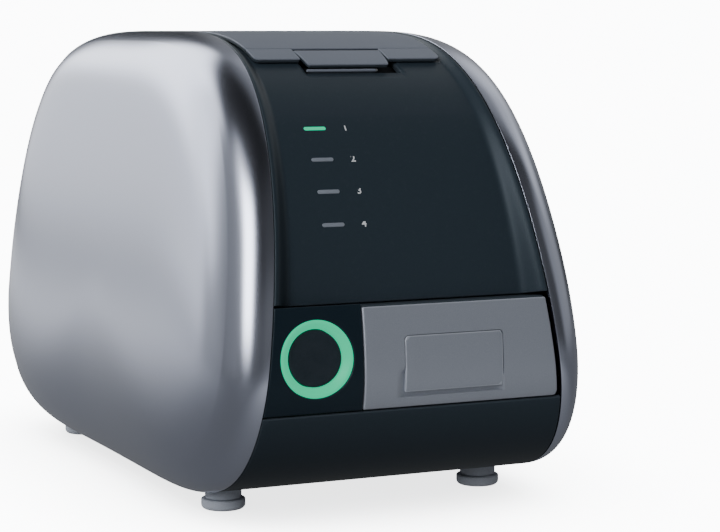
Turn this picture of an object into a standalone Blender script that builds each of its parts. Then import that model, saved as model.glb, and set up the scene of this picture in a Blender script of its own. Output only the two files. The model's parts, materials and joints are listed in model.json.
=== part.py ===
"""Phosphor plate scanner: two domed side shells around a dark centre body, with a feed slot under a flap
at the top, four status lights, a start button with a ring light, and a tray at the front.

Lengths are in metres. +Z is up, the front faces -Y, and the origin is on the ground under the middle of the
body. The centre panels follow one side profile, made of four superellipse quarters; an angle on it is 0 at the
front, a quarter turn at the top, and half a turn at the back.
"""

import math

import bmesh
import bpy
from mathutils import Matrix, Vector

# Side profile of the body
BODY_HEIGHT = 0.240
BODY_DEPTH = 0.384
CREST_SETBACK = 0.0024
WAIST_HEIGHT = BODY_HEIGHT * 0.31708
UNDERSIDE_HEIGHT = 0.009
FRONT_TOP_POWERS = (3.67, 1.65)
FRONT_BOTTOM_POWERS = (6.32, 2.0)
BACK_TOP_POWERS = (4.29, 2.76)
BACK_BOTTOM_POWERS = (5.02, 1.7)

# Seam planes and side shells
SEAM_HALF_WIDTH = 0.0788
SEAM_TOP_HALF_WIDTH = SEAM_HALF_WIDTH * 0.73464
SEAM_GAP = 0.0005
SHELL_BULGE = 0.0292
SHELL_WALL = 0.003
SHELL_RIM = 0.001
SHELL_CENTRE_HEIGHT = BODY_HEIGHT * 0.5475
SHELL_FRONT_POWER = 7.5
SHELL_BACK_POWER = 11.7
SHELL_TOP_POWER = 10.6
SHELL_BOTTOM_POWER = 3.05

# Walls, gaps and overruns that many pieces use
PANEL_WALL = 0.0025
FIT_GAP = 0.0003
OVERRUN = 0.001

# Front panels
TRAY_BOTTOM = BODY_HEIGHT * 0.24375
TRAY_TOP = BODY_HEIGHT * 0.45208
TRAY_LEFT = -SEAM_HALF_WIDTH * 0.36168
TRAY_RIGHT_GAP = 0.0025
BUTTON_PANEL_TOP = BODY_HEIGHT * 0.45917
UPPER_PANEL_BOTTOM = BODY_HEIGHT * 0.46375
RECESS_LOW = 0.009
RECESS_HIGH = 0.003
RECESS_FADE_HEIGHT = BODY_HEIGHT * 0.83333
SHOULDER_LOW = 0.0105
SHOULDER_HIGH = 0.0050
SHOULDER_LAND = 0.0012
UNDER_SEAM_Y = BODY_DEPTH * 0.34896
CROSSBAR_BOTTOM = BODY_HEIGHT * 0.445
CROSSBAR_DEPTH = 0.010

# Lid, its strips and the notch
LID_MARGIN = 0.00589
LID_HALF_WIDTH = SEAM_TOP_HALF_WIDTH - LID_MARGIN
LID_LAP = 0.0015
LID_BACK_Y = BODY_DEPTH * 0.33854
LID_GROOVE = 0.0035
BACK_SEAM_Y = BODY_DEPTH * 0.39062
STRIP_LAP = 0.008
STRIP_WALL = 0.002
NOTCH_HALF_WIDTH = 0.029

# Flap and its hinge
HINGE_Y = -BODY_DEPTH * 0.26146
FLAP_LENGTH = 0.0157
STRIP_LENGTH = 0.0102
NOTCH_LENGTH = 0.0261
FLAP_FRONT_Y = HINGE_Y - FLAP_LENGTH
STRIP_FRONT_Y = HINGE_Y - STRIP_LENGTH
NOTCH_FRONT_Y = HINGE_Y - NOTCH_LENGTH
FLAP_HALF_WIDTH = 0.024
FLAP_NOSE_DRAW = 0.0015
BEAD_RADIUS = 0.002
BEAD_COVER = 0.0003
PIN_RADIUS = 0.00075
EAR_WIDTH = 0.003
SPRING_BAY = 0.007
FLAP_SPRING_RADIUS = 0.00125
FLAP_SPRING_WIRE = 0.0002
FLAP_SPRING_TURNS = 4

# Feet and base
FOOT_RADIUS = 0.01125
FOOT_HEIGHT = 0.0055
FOOT_ROUND = 0.0022
FOOT_BOSS_RADIUS = 0.0093
FOOT_X = SEAM_HALF_WIDTH * 0.92005
FOOT_Y = BODY_DEPTH * 0.30104
CHASSIS_LIFT = 0.006
CHASSIS_BOTTOM = UNDERSIDE_HEIGHT + CHASSIS_LIFT
CHASSIS_WALL = 0.0015
CHASSIS_HALF_WIDTH = SEAM_HALF_WIDTH * 0.88832
CHASSIS_BOSS_RADIUS = 0.005
CHASSIS_BOSS_X = SEAM_HALF_WIDTH * 0.69797
CHASSIS_BOSS_Y = BODY_DEPTH * 0.22917

# Tray
TRAY_WALL = 0.003
BIN_WALL = 0.0018
BIN_BACK_Y = -BODY_DEPTH * 0.18229
BIN_TOP = BODY_HEIGHT * 0.41667
BIN_SIDE_MARGIN = 0.005
BIN_FLOOR_LIFT = 0.0008
PULL_LEFT = -SEAM_HALF_WIDTH * 0.08629
PULL_RIGHT = SEAM_HALF_WIDTH * 0.59137
PULL_TOP = BODY_HEIGHT * 0.38958
PULL_BOTTOM = BODY_HEIGHT * 0.275
PULL_WALL = 0.0016
PULL_POCKET = 0.002
PULL_GROOVE = 0.0024
PULL_CORNER = 0.002
SHELF_WALL = 0.0015
SHELF_FRONT_Y = -BODY_DEPTH * 0.47917
SHELF_BACK_Y = -BODY_DEPTH * 0.16146
SHELF_GUIDE = 0.020
RUNNING_GAP = 0.0005

# Start button and ring light
BUTTON_X = -SEAM_HALF_WIDTH * 0.67513
BUTTON_Z = BODY_HEIGHT * 0.35375
RING_RADIUS = (BUTTON_PANEL_TOP - TRAY_BOTTOM) * 0.3646
RING_BORE = RING_RADIUS * 0.7427
RING_RECESS = 0.003
RING_FLANGE = RING_RADIUS * 0.1326
RING_BACK_DEPTH = 0.0085
BUTTON_FACE_DEPTH = 0.0031
BUTTON_WALL = 0.0016
BUTTON_RIM = 0.0008
BOARD_WALL = 0.0016
BUTTON_BOARD_WIDTH = 0.040
BUTTON_BOARD_DROP = 0.0019
SWITCH_SIDE = 0.006
SWITCH_RISE = 0.0017
BUTTON_TRAVEL = 0.0015
BUTTON_SPRING_RADIUS = 0.0062
BUTTON_SPRING_WIRE = 0.0004
BUTTON_SPRING_TURNS = 3

# Status lights
LIGHT_HEIGHTS = [BODY_HEIGHT * share for share in (0.805, 0.74375, 0.68042, 0.61458)]
LIGHT_X = -SEAM_HALF_WIDTH * 0.45178
LIGHT_LENGTH = 0.0118
LIGHT_WIDTH = 0.0022
LIGHT_DEPTH = 0.0045

# Side frames and plate path
FRAME_INNER_X = SEAM_HALF_WIDTH * 0.53299
FRAME_WALL = 0.002
FRAME_FRONT_Y = -BODY_DEPTH * 0.33333
FRAME_ARM_BOTTOM = BODY_HEIGHT * 0.475
FRAME_TOP = BODY_HEIGHT * 0.85417
FRAME_LEG_FRONT_Y = -BODY_DEPTH * 0.15104
FRAME_BACK_Y = BODY_DEPTH * 0.2474
PATH_TO_HINGE = 0.0096
PATH_Y = HINGE_Y - PATH_TO_HINGE
PATH_HALF_GAP = 0.001
ROLLER_RADIUS = 0.0052
ROLLER_NIP = 0.0006
ROLLER_END_GAP = 0.003
UPPER_ROLLER_Z = BODY_HEIGHT * 0.79167
LOWER_ROLLER_Z = BODY_HEIGHT * 0.53125
SHAFT_RADIUS = 0.002
SHAFT_STUB = 0.0006
CHUTE_WALL = 0.0012
CHUTE_BOTTOM = BODY_HEIGHT * 0.81875
CHUTE_REAR_REACH = 0.0055
CHUTE_REAR_Y = PATH_Y + CHUTE_REAR_REACH
CHUTE_REAR_DROP = 0.0072
LIP_REACH = 0.0115
LIP_Y = PATH_Y - LIP_REACH
LIP_DROP = 0.0024
CHUTE_SHOULDER_DROP = 0.0093
LIP_RADIUS = 0.002
LIP_HALF_WIDTH = 0.0265

# Belt drive and motor
PULLEY_WIDTH = 0.006
PULLEY_GAP = 0.0012
ROLLER_PULLEY_RADIUS = 0.008
MOTOR_PULLEY_RADIUS = 0.006
BELT_WALL = 0.001
MOTOR_Y = -BODY_DEPTH * 0.05208
MOTOR_Z = BODY_HEIGHT * 0.25
MOTOR_SIDE = 0.035
MOTOR_LENGTH = 0.028
MOTOR_CORNER = 0.004
MOTOR_PILOT_RADIUS = 0.009
MOTOR_SHAFT_RADIUS = 0.0025
MOTOR_SHAFT_DEPTH = 0.008

# Optics
OPTICS_TO_PATH = 0.0105
OPTICS_FRONT_Y = PATH_Y + OPTICS_TO_PATH
OPTICS_BACK_Y = BODY_DEPTH * 0.03125
OPTICS_BOTTOM = BODY_HEIGHT * 0.575
OPTICS_TOP = BODY_HEIGHT * 0.73333
OPTICS_WALL = 0.002
SCAN_SLIT_Z = BODY_HEIGHT * 0.63333
SCAN_SLIT_HEIGHT = 0.003
SCAN_SLIT_WIDTH = 0.060
MIRROR_X = SEAM_HALF_WIDTH * 0.15228
MIRROR_Y = -BODY_DEPTH * 0.10938
MIRROR_MOTOR_RADIUS = 0.011
MIRROR_MOTOR_HEIGHT = 0.006
MIRROR_RADIUS = 0.015
MIRROR_HEIGHT = 0.005
MIRROR_GAP = 0.0008
MIRROR_SPINDLE_RADIUS = 0.0015
MIRROR_SIDES = 6
LASER_RADIUS = 0.004
LASER_LENGTH = 0.019
LENS_Y = -BODY_DEPTH * 0.21875
LENS_LENGTH = 0.052
LENS_HEIGHT = 0.011
LENS_EDGE = 0.003
LENS_CROWN = 0.0035
GUIDE_ROD_RADIUS = 0.003
GUIDE_ROD_TO_PATH = 0.0045
GUIDE_ROD_Y = PATH_Y + GUIDE_ROD_TO_PATH
GUIDE_ROD_Z = BODY_HEIGHT * 0.69375
DETECTOR_RADIUS = 0.011
DETECTOR_LENGTH = 0.030
ERASER_REACH = 0.016
ERASER_FRONT_Y = PATH_Y - ERASER_REACH
ERASER_BOTTOM = BODY_HEIGHT * 0.625
ERASER_HEIGHT = 0.012
ERASER_CHAMFER = 0.003

# Electronics
BOARD_X = SEAM_HALF_WIDTH * 0.60914
BOARD_FRONT_Y = -BODY_DEPTH * 0.125
BOARD_BACK_Y = BODY_DEPTH * 0.22917
BOARD_BOTTOM = BODY_HEIGHT * 0.09167
BOARD_TOP = BODY_HEIGHT * 0.61667
STANDOFF_RADIUS = 0.003
STANDOFF_INSET = 0.008
CHIP_HEIGHT = 0.003
CHIP_SIDE = 0.020
CONNECTOR_LENGTH = 0.030
CONNECTOR_HEIGHT = 0.008
SUPPLY_HALF_WIDTH = SEAM_HALF_WIDTH * 0.45685
SUPPLY_FRONT_Y = BODY_DEPTH * 0.0651
SUPPLY_BACK_Y = BODY_DEPTH * 0.23958
SUPPLY_HEIGHT = 0.036
SUPPLY_CHAMFER = 0.002

# Rear panel, its fan and its sockets
FAN_SIDE = 0.050
FAN_DEPTH = 0.015
FAN_Z = BODY_HEIGHT * 0.52917
FAN_BORE_WALL = 0.0015
FAN_HUB_RADIUS = 0.012
FAN_SPIDER_WALL = 0.0025
FAN_ARM_WIDTH = 0.003
FAN_TIP_GAP = 0.001
FAN_BLADES = 7
FAN_BLADE_WALL = 0.0012
FAN_BLADE_PITCH = math.radians(38)
FAN_SPINDLE_RADIUS = 0.0015
VENT_LENGTH = 0.046
VENT_HEIGHT = 0.0028
VENT_PITCH = 0.0060
VENT_COUNT = 8
SOCKET_Z = BODY_HEIGHT * 0.33333
INLET_X = -SEAM_HALF_WIDTH * 0.60914
INLET_WIDTH = 0.012
INLET_HEIGHT = 0.011
INLET_BORE = 0.0034
INLET_PIN = 0.001
PORT_X = -SEAM_HALF_WIDTH * 0.32995
PORT_WIDTH = 0.013
PORT_HEIGHT = 0.012
PORT_WALL = 0.001
SOCKET_DEPTH = 0.014
SOCKET_CAVITY = 0.009
SWITCH_X = SEAM_HALF_WIDTH * 0.50761
SWITCH_WIDTH = 0.019
SWITCH_HEIGHT = 0.013
SWITCH_WALL = 0.0016
ROCKER_TILT = math.radians(11)
ROCKER_DEPTH = 0.006
ROCKER_TRUNNION = 0.0012
ROCKER_RISE = 0.0045
ROCKER_DISH = 0.0006

# Facets of round pieces
FACETS = 24
FINE_FACETS = 36
COARSE_FACETS = 14

# Colour, roughness and metallic value of each material
FINISHES = {
    "silver_paint": ((0.42, 0.44, 0.47, 1), 0.32, 0.85),
    "dark_plastic": ((0.013, 0.020, 0.027, 1), 0.38, 0.0),
    "lid_plastic": ((0.15, 0.16, 0.19, 1), 0.42, 0.1),
    "tray_paint": ((0.17, 0.18, 0.21, 1), 0.36, 0.3),
    "light_green": ((0.10, 0.60, 0.38, 1), 0.35, 0.0),
    "light_grey": ((0.12, 0.13, 0.16, 1), 0.35, 0.0),
    "button_plastic": ((0.018, 0.020, 0.026, 1), 0.55, 0.0),
    "foot_rubber": ((0.05, 0.055, 0.065, 1), 0.8, 0.0),
    "steel": ((0.45, 0.45, 0.46, 1), 0.35, 1.0),
    "chassis_steel": ((0.55, 0.56, 0.57, 1), 0.45, 1.0),
    "black_plastic": ((0.02, 0.02, 0.022, 1), 0.5, 0.0),
    "roller_rubber": ((0.03, 0.03, 0.03, 1), 0.75, 0.0),
    "clear_plastic": ((0.75, 0.85, 0.85, 1), 0.1, 0.0),
    "circuit_board": ((0.02, 0.16, 0.07, 1), 0.45, 0.0),
    "mirror": ((0.85, 0.86, 0.88, 1), 0.05, 1.0),
}

START_OF_LID = HINGE_Y + BEAD_RADIUS + BEAD_COVER + SEAM_GAP
FULL_TURN = 2 * math.pi
QUARTER_TURN = math.pi / 2
ALONG_X = (0, QUARTER_TURN, 0)
ALONG_Y = (QUARTER_TURN, 0, 0)
OUTLINE_IN_YZ = (QUARTER_TURN, 0, QUARTER_TURN)
OUTLINE_IN_XZ = (QUARTER_TURN, 0, 0)


def clear_scene():
    for leftover in list(bpy.data.objects):
        bpy.data.objects.remove(leftover, do_unlink=True)


def collection(name):
    made = bpy.data.collections.new(name)
    bpy.context.scene.collection.children.link(made)
    return made


def material(name):
    """The Principled material of this name, made at its first use."""
    if name in bpy.data.materials:
        return bpy.data.materials[name]
    colour, roughness, metallic = FINISHES[name]
    made = bpy.data.materials.new(name)
    made.use_nodes = True
    made.diffuse_color = colour
    shader = made.node_tree.nodes["Principled BSDF"]
    shader.inputs["Base Color"].default_value = colour
    shader.inputs["Roughness"].default_value = roughness
    shader.inputs["Metallic"].default_value = metallic
    return made


clear_scene()
PARTS = collection("phosphor_plate_scanner")
CUTTERS = collection("cutters")


def place_piece(name, data, finish, place=(0, 0, 0), turn=(0, 0, 0)):
    piece = bpy.data.objects.new(name, data)
    piece.location = place
    piece.rotation_euler = turn
    data.materials.append(material(finish))
    PARTS.objects.link(piece)
    return piece


def place_cutter(name, data, place=(0, 0, 0), turn=(0, 0, 0)):
    cutter = bpy.data.objects.new(name, data)
    cutter.location = place
    cutter.rotation_euler = turn
    cutter.hide_render = True
    cutter.display_type = "WIRE"
    CUTTERS.objects.link(cutter)
    return cutter


def mesh_from(name, work):
    """Closes a bmesh into a mesh that is smooth but for its sharp edges."""
    mesh = bpy.data.meshes.new(name)
    work.to_mesh(mesh)
    work.free()
    mesh.shade_smooth()
    mesh.set_sharp_from_angle(angle=math.radians(35))
    return mesh


def box_mesh(name, size, centres=((0, 0, 0),)):
    """One box of this size around each centre."""
    work = bmesh.new()
    for centre in centres:
        matrix = Matrix.Translation(centre) @ Matrix.Diagonal((*size, 1))
        bmesh.ops.create_cube(work, size=1, matrix=matrix)
    return mesh_from(name, work)


def rod_mesh(name, radius, length, centres=((0, 0, 0),), facets=FACETS):
    """One upright cylinder around each centre."""
    work = bmesh.new()
    for centre in centres:
        bmesh.ops.create_cone(
            work, cap_ends=True, segments=facets, radius1=radius, radius2=radius, depth=length,
            matrix=Matrix.Translation(centre),
        )
    return mesh_from(name, work)


def middle(low, high):
    return (Vector(low) + Vector(high)) / 2


def span(low, high):
    return Vector(high) - Vector(low)


def box_piece(name, low, high, finish):
    """A box between two corners."""
    return place_piece(name, box_mesh(name, span(low, high)), finish, middle(low, high))


def box_cutter(name, low, high):
    return place_cutter(name, box_mesh(name, span(low, high)), middle(low, high))


def turned_mesh(name, profile, facets):
    """Mesh of a profile of (radius, height) pairs; the Screw modifier turns it."""
    work = bmesh.new()
    points = [work.verts.new((radius, 0, height)) for radius, height in profile]
    for first, second in zip(points, points[1:]):
        work.edges.new((first, second))
    if profile[0][0] > 0:
        work.edges.new((points[-1], points[0]))
    return mesh_from(name, work)


def turned_piece(name, profile, finish, place, turn=(0, 0, 0), facets=FACETS):
    """A profile that runs down its outer side, turned about its own Z; it is a ring if it starts off the axis."""
    piece = place_piece(name, turned_mesh(name, profile, facets), finish, place, turn)
    screw = piece.modifiers.new("turn", "SCREW")
    screw.steps = facets
    screw.render_steps = facets
    screw.use_merge_vertices = True
    screw.merge_threshold = 0.00001
    return piece


def outline_curve(name, loops, width):
    """A flat closed outline with holes, as thick as width."""
    curve = bpy.data.curves.new(name, "CURVE")
    curve.dimensions = "2D"
    curve.fill_mode = "BOTH"
    curve.extrude = width / 2
    for loop in loops:
        spline = curve.splines.new("POLY")
        spline.points.add(len(loop) - 1)
        for point, (across, up) in zip(spline.points, loop):
            point.co = (across, up, 0, 1)
        spline.use_cyclic_u = True
    return curve


def circle(centre, radius, facets=COARSE_FACETS):
    """Points of a circle about (across, up)."""
    steps = [FULL_TURN * step / facets for step in range(facets)]
    return [(centre[0] + radius * math.cos(step), centre[1] + radius * math.sin(step)) for step in steps]


def capsule(length, width, facets=5):
    """Outline of a bar with round ends, centred on the origin."""
    reach = (length - width) / 2
    points = []
    for side in (1, -1):
        for step in range(facets + 1):
            angle = math.pi * step / facets - QUARTER_TURN
            points.append((side * (reach + width / 2 * math.cos(angle)), side * width / 2 * math.sin(angle)))
    return points


def meshed(piece):
    """Turns a curve piece into a closed mesh, so that it can be cut or joined."""
    graph = bpy.context.evaluated_depsgraph_get()
    mesh = bpy.data.meshes.new_from_object(piece.evaluated_get(graph))
    work = bmesh.new()
    work.from_mesh(mesh)
    bmesh.ops.remove_doubles(work, verts=work.verts, dist=0.000001)
    work.to_mesh(mesh)
    work.free()
    made = bpy.data.objects.new(piece.name, mesh)
    made.matrix_world = piece.matrix_world
    made.hide_render = piece.hide_render
    made.display_type = piece.display_type
    piece.users_collection[0].objects.link(made)
    name = piece.name
    bpy.data.objects.remove(piece, do_unlink=True)
    made.name = name
    return made


def outline_piece(name, loops, width, finish, place, turn):
    """A plate cut to an outline, with its middle plane through place."""
    piece = place_piece(name, outline_curve(name, loops, width), finish, place, turn)
    bpy.context.view_layer.update()
    return meshed(piece)


def outline_cutter(name, loops, width, place, turn):
    cutter = place_cutter(name, outline_curve(name, loops, width), place, turn)
    bpy.context.view_layer.update()
    return meshed(cutter)


def combine(piece, other, operation):
    change = piece.modifiers.new(other.name, "BOOLEAN")
    change.object = other
    change.operation = operation
    change.solver = "EXACT"


def cut(piece, *cutters):
    for cutter in cutters:
        combine(piece, cutter, "DIFFERENCE")


def join(piece, *additions):
    for addition in additions:
        combine(piece, addition, "UNION")


def thicken(piece, wall):
    """Gives an open outer surface its wall, inwards."""
    solid = piece.modifiers.new("wall", "SOLIDIFY")
    solid.thickness = wall
    solid.offset = -1
    solid.use_even_offset = True


def soften(piece, width, segments=2):
    bevel = piece.modifiers.new("edges", "BEVEL")
    bevel.width = width
    bevel.segments = segments
    bevel.limit_method = "ANGLE"
    bevel.angle_limit = math.radians(40)


def profile_quarter(angle):
    """Reach, rise and powers of the quarter of the side profile at this angle, and the signs of its y and z."""
    front = math.cos(angle) > 0
    above = math.sin(angle) >= 0
    reach = BODY_DEPTH / 2 + (CREST_SETBACK if front else -CREST_SETBACK)
    rise = BODY_HEIGHT - WAIST_HEIGHT if above else WAIST_HEIGHT - UNDERSIDE_HEIGHT
    front_powers = FRONT_TOP_POWERS if above else FRONT_BOTTOM_POWERS
    back_powers = BACK_TOP_POWERS if above else BACK_BOTTOM_POWERS
    return reach, rise, front_powers if front else back_powers, -1 if front else 1, 1 if above else -1


def profile_point(angle, inset=0.0):
    """The (y, z) of the side profile at an angle, moved inwards along its normal by inset."""
    reach, rise, (along, up), side, over = profile_quarter(angle)
    across_share = abs(math.cos(angle)) ** (2 / along)
    up_share = abs(math.sin(angle)) ** (2 / up)
    normal = Vector((
        side * along / reach * across_share ** (along - 1),
        over * up / rise * up_share ** (up - 1),
    )).normalized()
    y = CREST_SETBACK + side * reach * across_share - inset * normal.x
    z = WAIST_HEIGHT + over * rise * up_share - inset * normal.y
    return y, z


def profile_tilt(angle):
    """The turn about X that lays a plate in XY onto the profile at this angle."""
    y, z = profile_point(angle)
    y_in, z_in = profile_point(angle, OVERRUN)
    return math.atan2(y_in - y, z - z_in)


def angle_at_height(height, back=False):
    """The profile's angle at a height, on the front or the back."""
    above = height >= WAIST_HEIGHT
    guess = (math.pi - QUARTER_TURN / 2 if back else QUARTER_TURN / 2) * (1 if above else -1)
    _, rise, (_, up), _, _ = profile_quarter(guess)
    share = (abs(height - WAIST_HEIGHT) / rise) ** (up / 2)
    angle = math.asin(share) if above else -math.asin(share)
    return math.pi - angle if back else angle


def angle_at_y(y, under=False):
    """The profile's angle at a y, on its upper side, or on its underside counted past half a turn."""
    front = y < CREST_SETBACK
    guess = QUARTER_TURN / 2 if front else math.pi - QUARTER_TURN / 2
    reach, _, (along, _), _, _ = profile_quarter(FULL_TURN - guess if under else guess)
    share = (abs(y - CREST_SETBACK) / reach) ** (along / 2)
    angle = math.acos(share) if front else math.pi - math.acos(share)
    return FULL_TURN - angle if under else angle


def below_profile(y, drop):
    """The (y, z) that lies a drop straight below the top of the profile at this y."""
    return y, profile_point(angle_at_y(y))[1] - drop


def spread(start, end, steps):
    """Evenly spaced angles from start to end, both included."""
    return [start + (end - start) * step / steps for step in range(steps + 1)]


def seam_half_width(height):
    """Half the width between the seam planes, which lean together towards the top."""
    taper = (SEAM_HALF_WIDTH - SEAM_TOP_HALF_WIDTH) / (BODY_HEIGHT - WAIST_HEIGHT)
    return SEAM_HALF_WIDTH - taper * (height - WAIST_HEIGHT)


def panel_edge(height):
    return seam_half_width(height) - SEAM_GAP


def skin_mesh(name, angles, columns, missing=(), origin=(0, 0, 0)):
    """Loft that follows the side profile: a row of points for each angle, and in it a point for each column.
    A column gives a point's x and its inset, from the angle and the height there. Missing cells stay open."""
    points = []
    for angle in angles:
        height = profile_point(angle)[1]
        for column in columns:
            x, inset = column(angle, height)
            points.append(Vector((x, *profile_point(angle, inset))) - Vector(origin))
    across = len(columns)
    faces = []
    for row in range(len(angles) - 1):
        for column in range(across - 1):
            if (row, column) not in missing:
                corner = row * across + column
                faces.append((corner, corner + 1, corner + across + 1, corner + across))
    work = bmesh.new()
    corners = [work.verts.new(point) for point in points]
    for face in faces:
        work.faces.new([corners[index] for index in face])
    bmesh.ops.delete(work, geom=[corner for corner in work.verts if not corner.link_faces], context="VERTS")
    return mesh_from(name, work)


def flat_column(x, inset=0.0):
    """A column at one x."""
    return lambda angle, height: (x, inset)


def edge_column(side, margin=0.0, inset=0.0):
    """A column that runs along a seam plane, a margin short of the panels' usual edge."""
    return lambda angle, height: (side * (panel_edge(height) - margin), inset)


def skin_piece(name, angles, columns, wall, finish, missing=(), origin=(0, 0, 0)):
    piece = place_piece(name, skin_mesh(name, angles, columns, missing, origin), finish, origin)
    thicken(piece, wall)
    return piece


def skin_cutter(name, angles, columns, wall):
    cutter = place_cutter(name, skin_mesh(name, angles, columns))
    thicken(cutter, wall)
    return cutter


def shell_point(side, angle, tilt, beyond=0.0):
    """A point of a side shell's outer surface. It is a dome over the side profile whose tilt runs from 0 at its
    middle to a quarter turn at its rim, which stands beyond the seam plane. Its power blends by direction."""
    rim_y, rim_z = profile_point(angle)
    reach_y = rim_y / (BODY_DEPTH / 2)
    reach_z = (rim_z - SHELL_CENTRE_HEIGHT) / ((BODY_HEIGHT - UNDERSIDE_HEIGHT) / 2)
    along_power = SHELL_FRONT_POWER if rim_y < 0 else SHELL_BACK_POWER
    up_power = SHELL_TOP_POWER if reach_z > 0 else SHELL_BOTTOM_POWER
    weight = reach_y ** 2 / (reach_y ** 2 + reach_z ** 2)
    power = weight * along_power + (1 - weight) * up_power
    share = math.sin(tilt) ** (2 / power)
    y = share * rim_y
    z = SHELL_CENTRE_HEIGHT + share * (rim_z - SHELL_CENTRE_HEIGHT)
    return side * (seam_half_width(z) + beyond + (SHELL_BULGE - beyond) * math.cos(tilt)), y, z


def side_shell(name, side):
    """Domed shell whose last strip runs square onto the seam plane."""
    angles = [FULL_TURN * step / 44 for step in range(44)]
    tilts = [math.radians(tilt) for tilt in (3, 10, 22, 36, 50, 64, 77, 90)]
    work = bmesh.new()
    top = work.verts.new(shell_point(side, 0, 0, SHELL_RIM))
    rings = [[work.verts.new(shell_point(side, angle, tilt, SHELL_RIM)) for angle in angles] for tilt in tilts]
    rings.append([work.verts.new(shell_point(side, angle, QUARTER_TURN)) for angle in angles])
    for step in range(len(angles)):
        following = (step + 1) % len(angles)
        fan = [top, rings[0][step], rings[0][following]]
        work.faces.new(fan if side < 0 else fan[::-1])
        for inner, outer in zip(rings, rings[1:]):
            patch = [inner[step], outer[step], outer[following], inner[following]]
            work.faces.new(patch if side < 0 else patch[::-1])
    piece = place_piece(name, mesh_from(name, work), "silver_paint")
    thicken(piece, SHELL_WALL)


def shoulder_width(height):
    """Width of the slope between a shell's edge and the sunken face of the upper front panel."""
    share = (height - UPPER_PANEL_BOTTOM) / (BODY_HEIGHT - UPPER_PANEL_BOTTOM)
    return SHOULDER_LOW + (SHOULDER_HIGH - SHOULDER_LOW) * share


def recess_depth(angle, height):
    """How far the upper front panel lies below the body's profile."""
    if profile_point(angle)[0] > LID_BACK_Y + LID_GROOVE / 2:
        return 0.0
    if angle > QUARTER_TURN:
        return RECESS_HIGH
    share = (height - UPPER_PANEL_BOTTOM) / (RECESS_FADE_HEIGHT - UPPER_PANEL_BOTTOM)
    return RECESS_LOW + (RECESS_HIGH - RECESS_LOW) * min(share, 1)


def recessed_column(x):
    return lambda angle, height: (x, recess_depth(angle, height))


def shoulder_column(side):
    def place(angle, height):
        return side * (panel_edge(height) - shoulder_width(height)), recess_depth(angle, height)
    return place


def light_cutters():
    """The four slots of the status lights, each a little larger than its light."""
    loop = capsule(LIGHT_LENGTH + 2 * FIT_GAP, LIGHT_WIDTH + 2 * FIT_GAP)
    cutters = []
    for number, height in enumerate(LIGHT_HEIGHTS, 1):
        angle = angle_at_height(height)
        place = (LIGHT_X, *profile_point(angle, recess_depth(angle, height)))
        turn = (profile_tilt(angle), 0, 0)
        cutters.append(outline_cutter(f"status_slot_{number}", [loop], 4 * PANEL_WALL, place, turn))
    return cutters


def upper_front_panel():
    """Sunken dark panel that runs up the front and round the lid: it has the notch of the feed slot, and an
    opening that the lid's rim laps over."""
    opening_front = angle_at_y(STRIP_FRONT_Y + STRIP_LAP)
    opening_back = angle_at_y(LID_BACK_Y - LID_LAP)
    front = spread(angle_at_height(UPPER_PANEL_BOTTOM), angle_at_y(NOTCH_FRONT_Y), 9)
    notch = spread(front[-1], opening_front, 2)[1:]
    top = spread(opening_front, opening_back, 9)[1:]
    back = [angle_at_y(y) for y in (LID_BACK_Y + SEAM_GAP, LID_BACK_Y + LID_GROOVE, BACK_SEAM_Y)]
    columns = [
        edge_column(-1), edge_column(-1, SHOULDER_LAND), shoulder_column(-1),
        recessed_column(LID_LAP - LID_HALF_WIDTH), recessed_column(-NOTCH_HALF_WIDTH),
        recessed_column(NOTCH_HALF_WIDTH), recessed_column(LID_HALF_WIDTH - LID_LAP),
        shoulder_column(1), edge_column(1, SHOULDER_LAND), edge_column(1),
    ]
    notch_rows = range(len(front) - 1, len(front) + len(notch) - 1)
    opening_rows = range(len(front) + len(notch) - 1, len(front) + len(notch) + len(top) - 1)
    missing = {(row, 4) for row in notch_rows} | {(row, column) for row in opening_rows for column in (3, 4, 5)}
    panel = skin_piece(
        "upper_front_panel", front + notch + top + back, columns, PANEL_WALL, "dark_plastic", missing
    )
    cut(panel, *light_cutters())


def status_lights():
    """Four round-ended light bars, flush with the sunken panel."""
    for number, height in enumerate(LIGHT_HEIGHTS, 1):
        angle = angle_at_height(height)
        inset = recess_depth(angle, height) + LIGHT_DEPTH / 2
        finish = "light_green" if number == 1 else "light_grey"
        place = (LIGHT_X, *profile_point(angle, inset))
        loop = capsule(LIGHT_LENGTH, LIGHT_WIDTH)
        outline_piece(f"status_light_{number}", [loop], LIGHT_DEPTH, finish, place, (profile_tilt(angle), 0, 0))


def lower_front_panel():
    angles = spread(angle_at_y(-UNDER_SEAM_Y, under=True) - FULL_TURN, angle_at_height(TRAY_BOTTOM - OVERRUN), 9)
    skin_piece("lower_front_panel", angles, [edge_column(-1), edge_column(1)], PANEL_WALL, "dark_plastic")


def front_crossbar():
    """Dark rail behind the top edges of the tray and the button panel, on which the upper panel stands."""
    angle = angle_at_height(UPPER_PANEL_BOTTOM)
    front = profile_point(angle, TRAY_WALL + RUNNING_GAP)[0]
    top = profile_point(angle, RECESS_LOW + PANEL_WALL)[1] - FIT_GAP
    reach = panel_edge(UPPER_PANEL_BOTTOM) - OVERRUN
    box_piece(
        "front_crossbar", (-reach, front, CROSSBAR_BOTTOM), (reach, front + CROSSBAR_DEPTH, top), "dark_plastic"
    )


def button_panel():
    angles = spread(angle_at_height(TRAY_BOTTOM), angle_at_height(BUTTON_PANEL_TOP), 8)
    columns = [edge_column(-1), flat_column(TRAY_LEFT - SEAM_GAP)]
    panel = skin_piece("button_panel", angles, columns, PANEL_WALL, "dark_plastic")
    bore = rod_mesh("ring_hole", RING_RADIUS + FIT_GAP, 8 * PANEL_WALL, facets=FINE_FACETS)
    cut(panel, place_cutter("ring_hole", bore, (BUTTON_X, -BODY_DEPTH / 2, BUTTON_Z), ALONG_Y))


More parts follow.
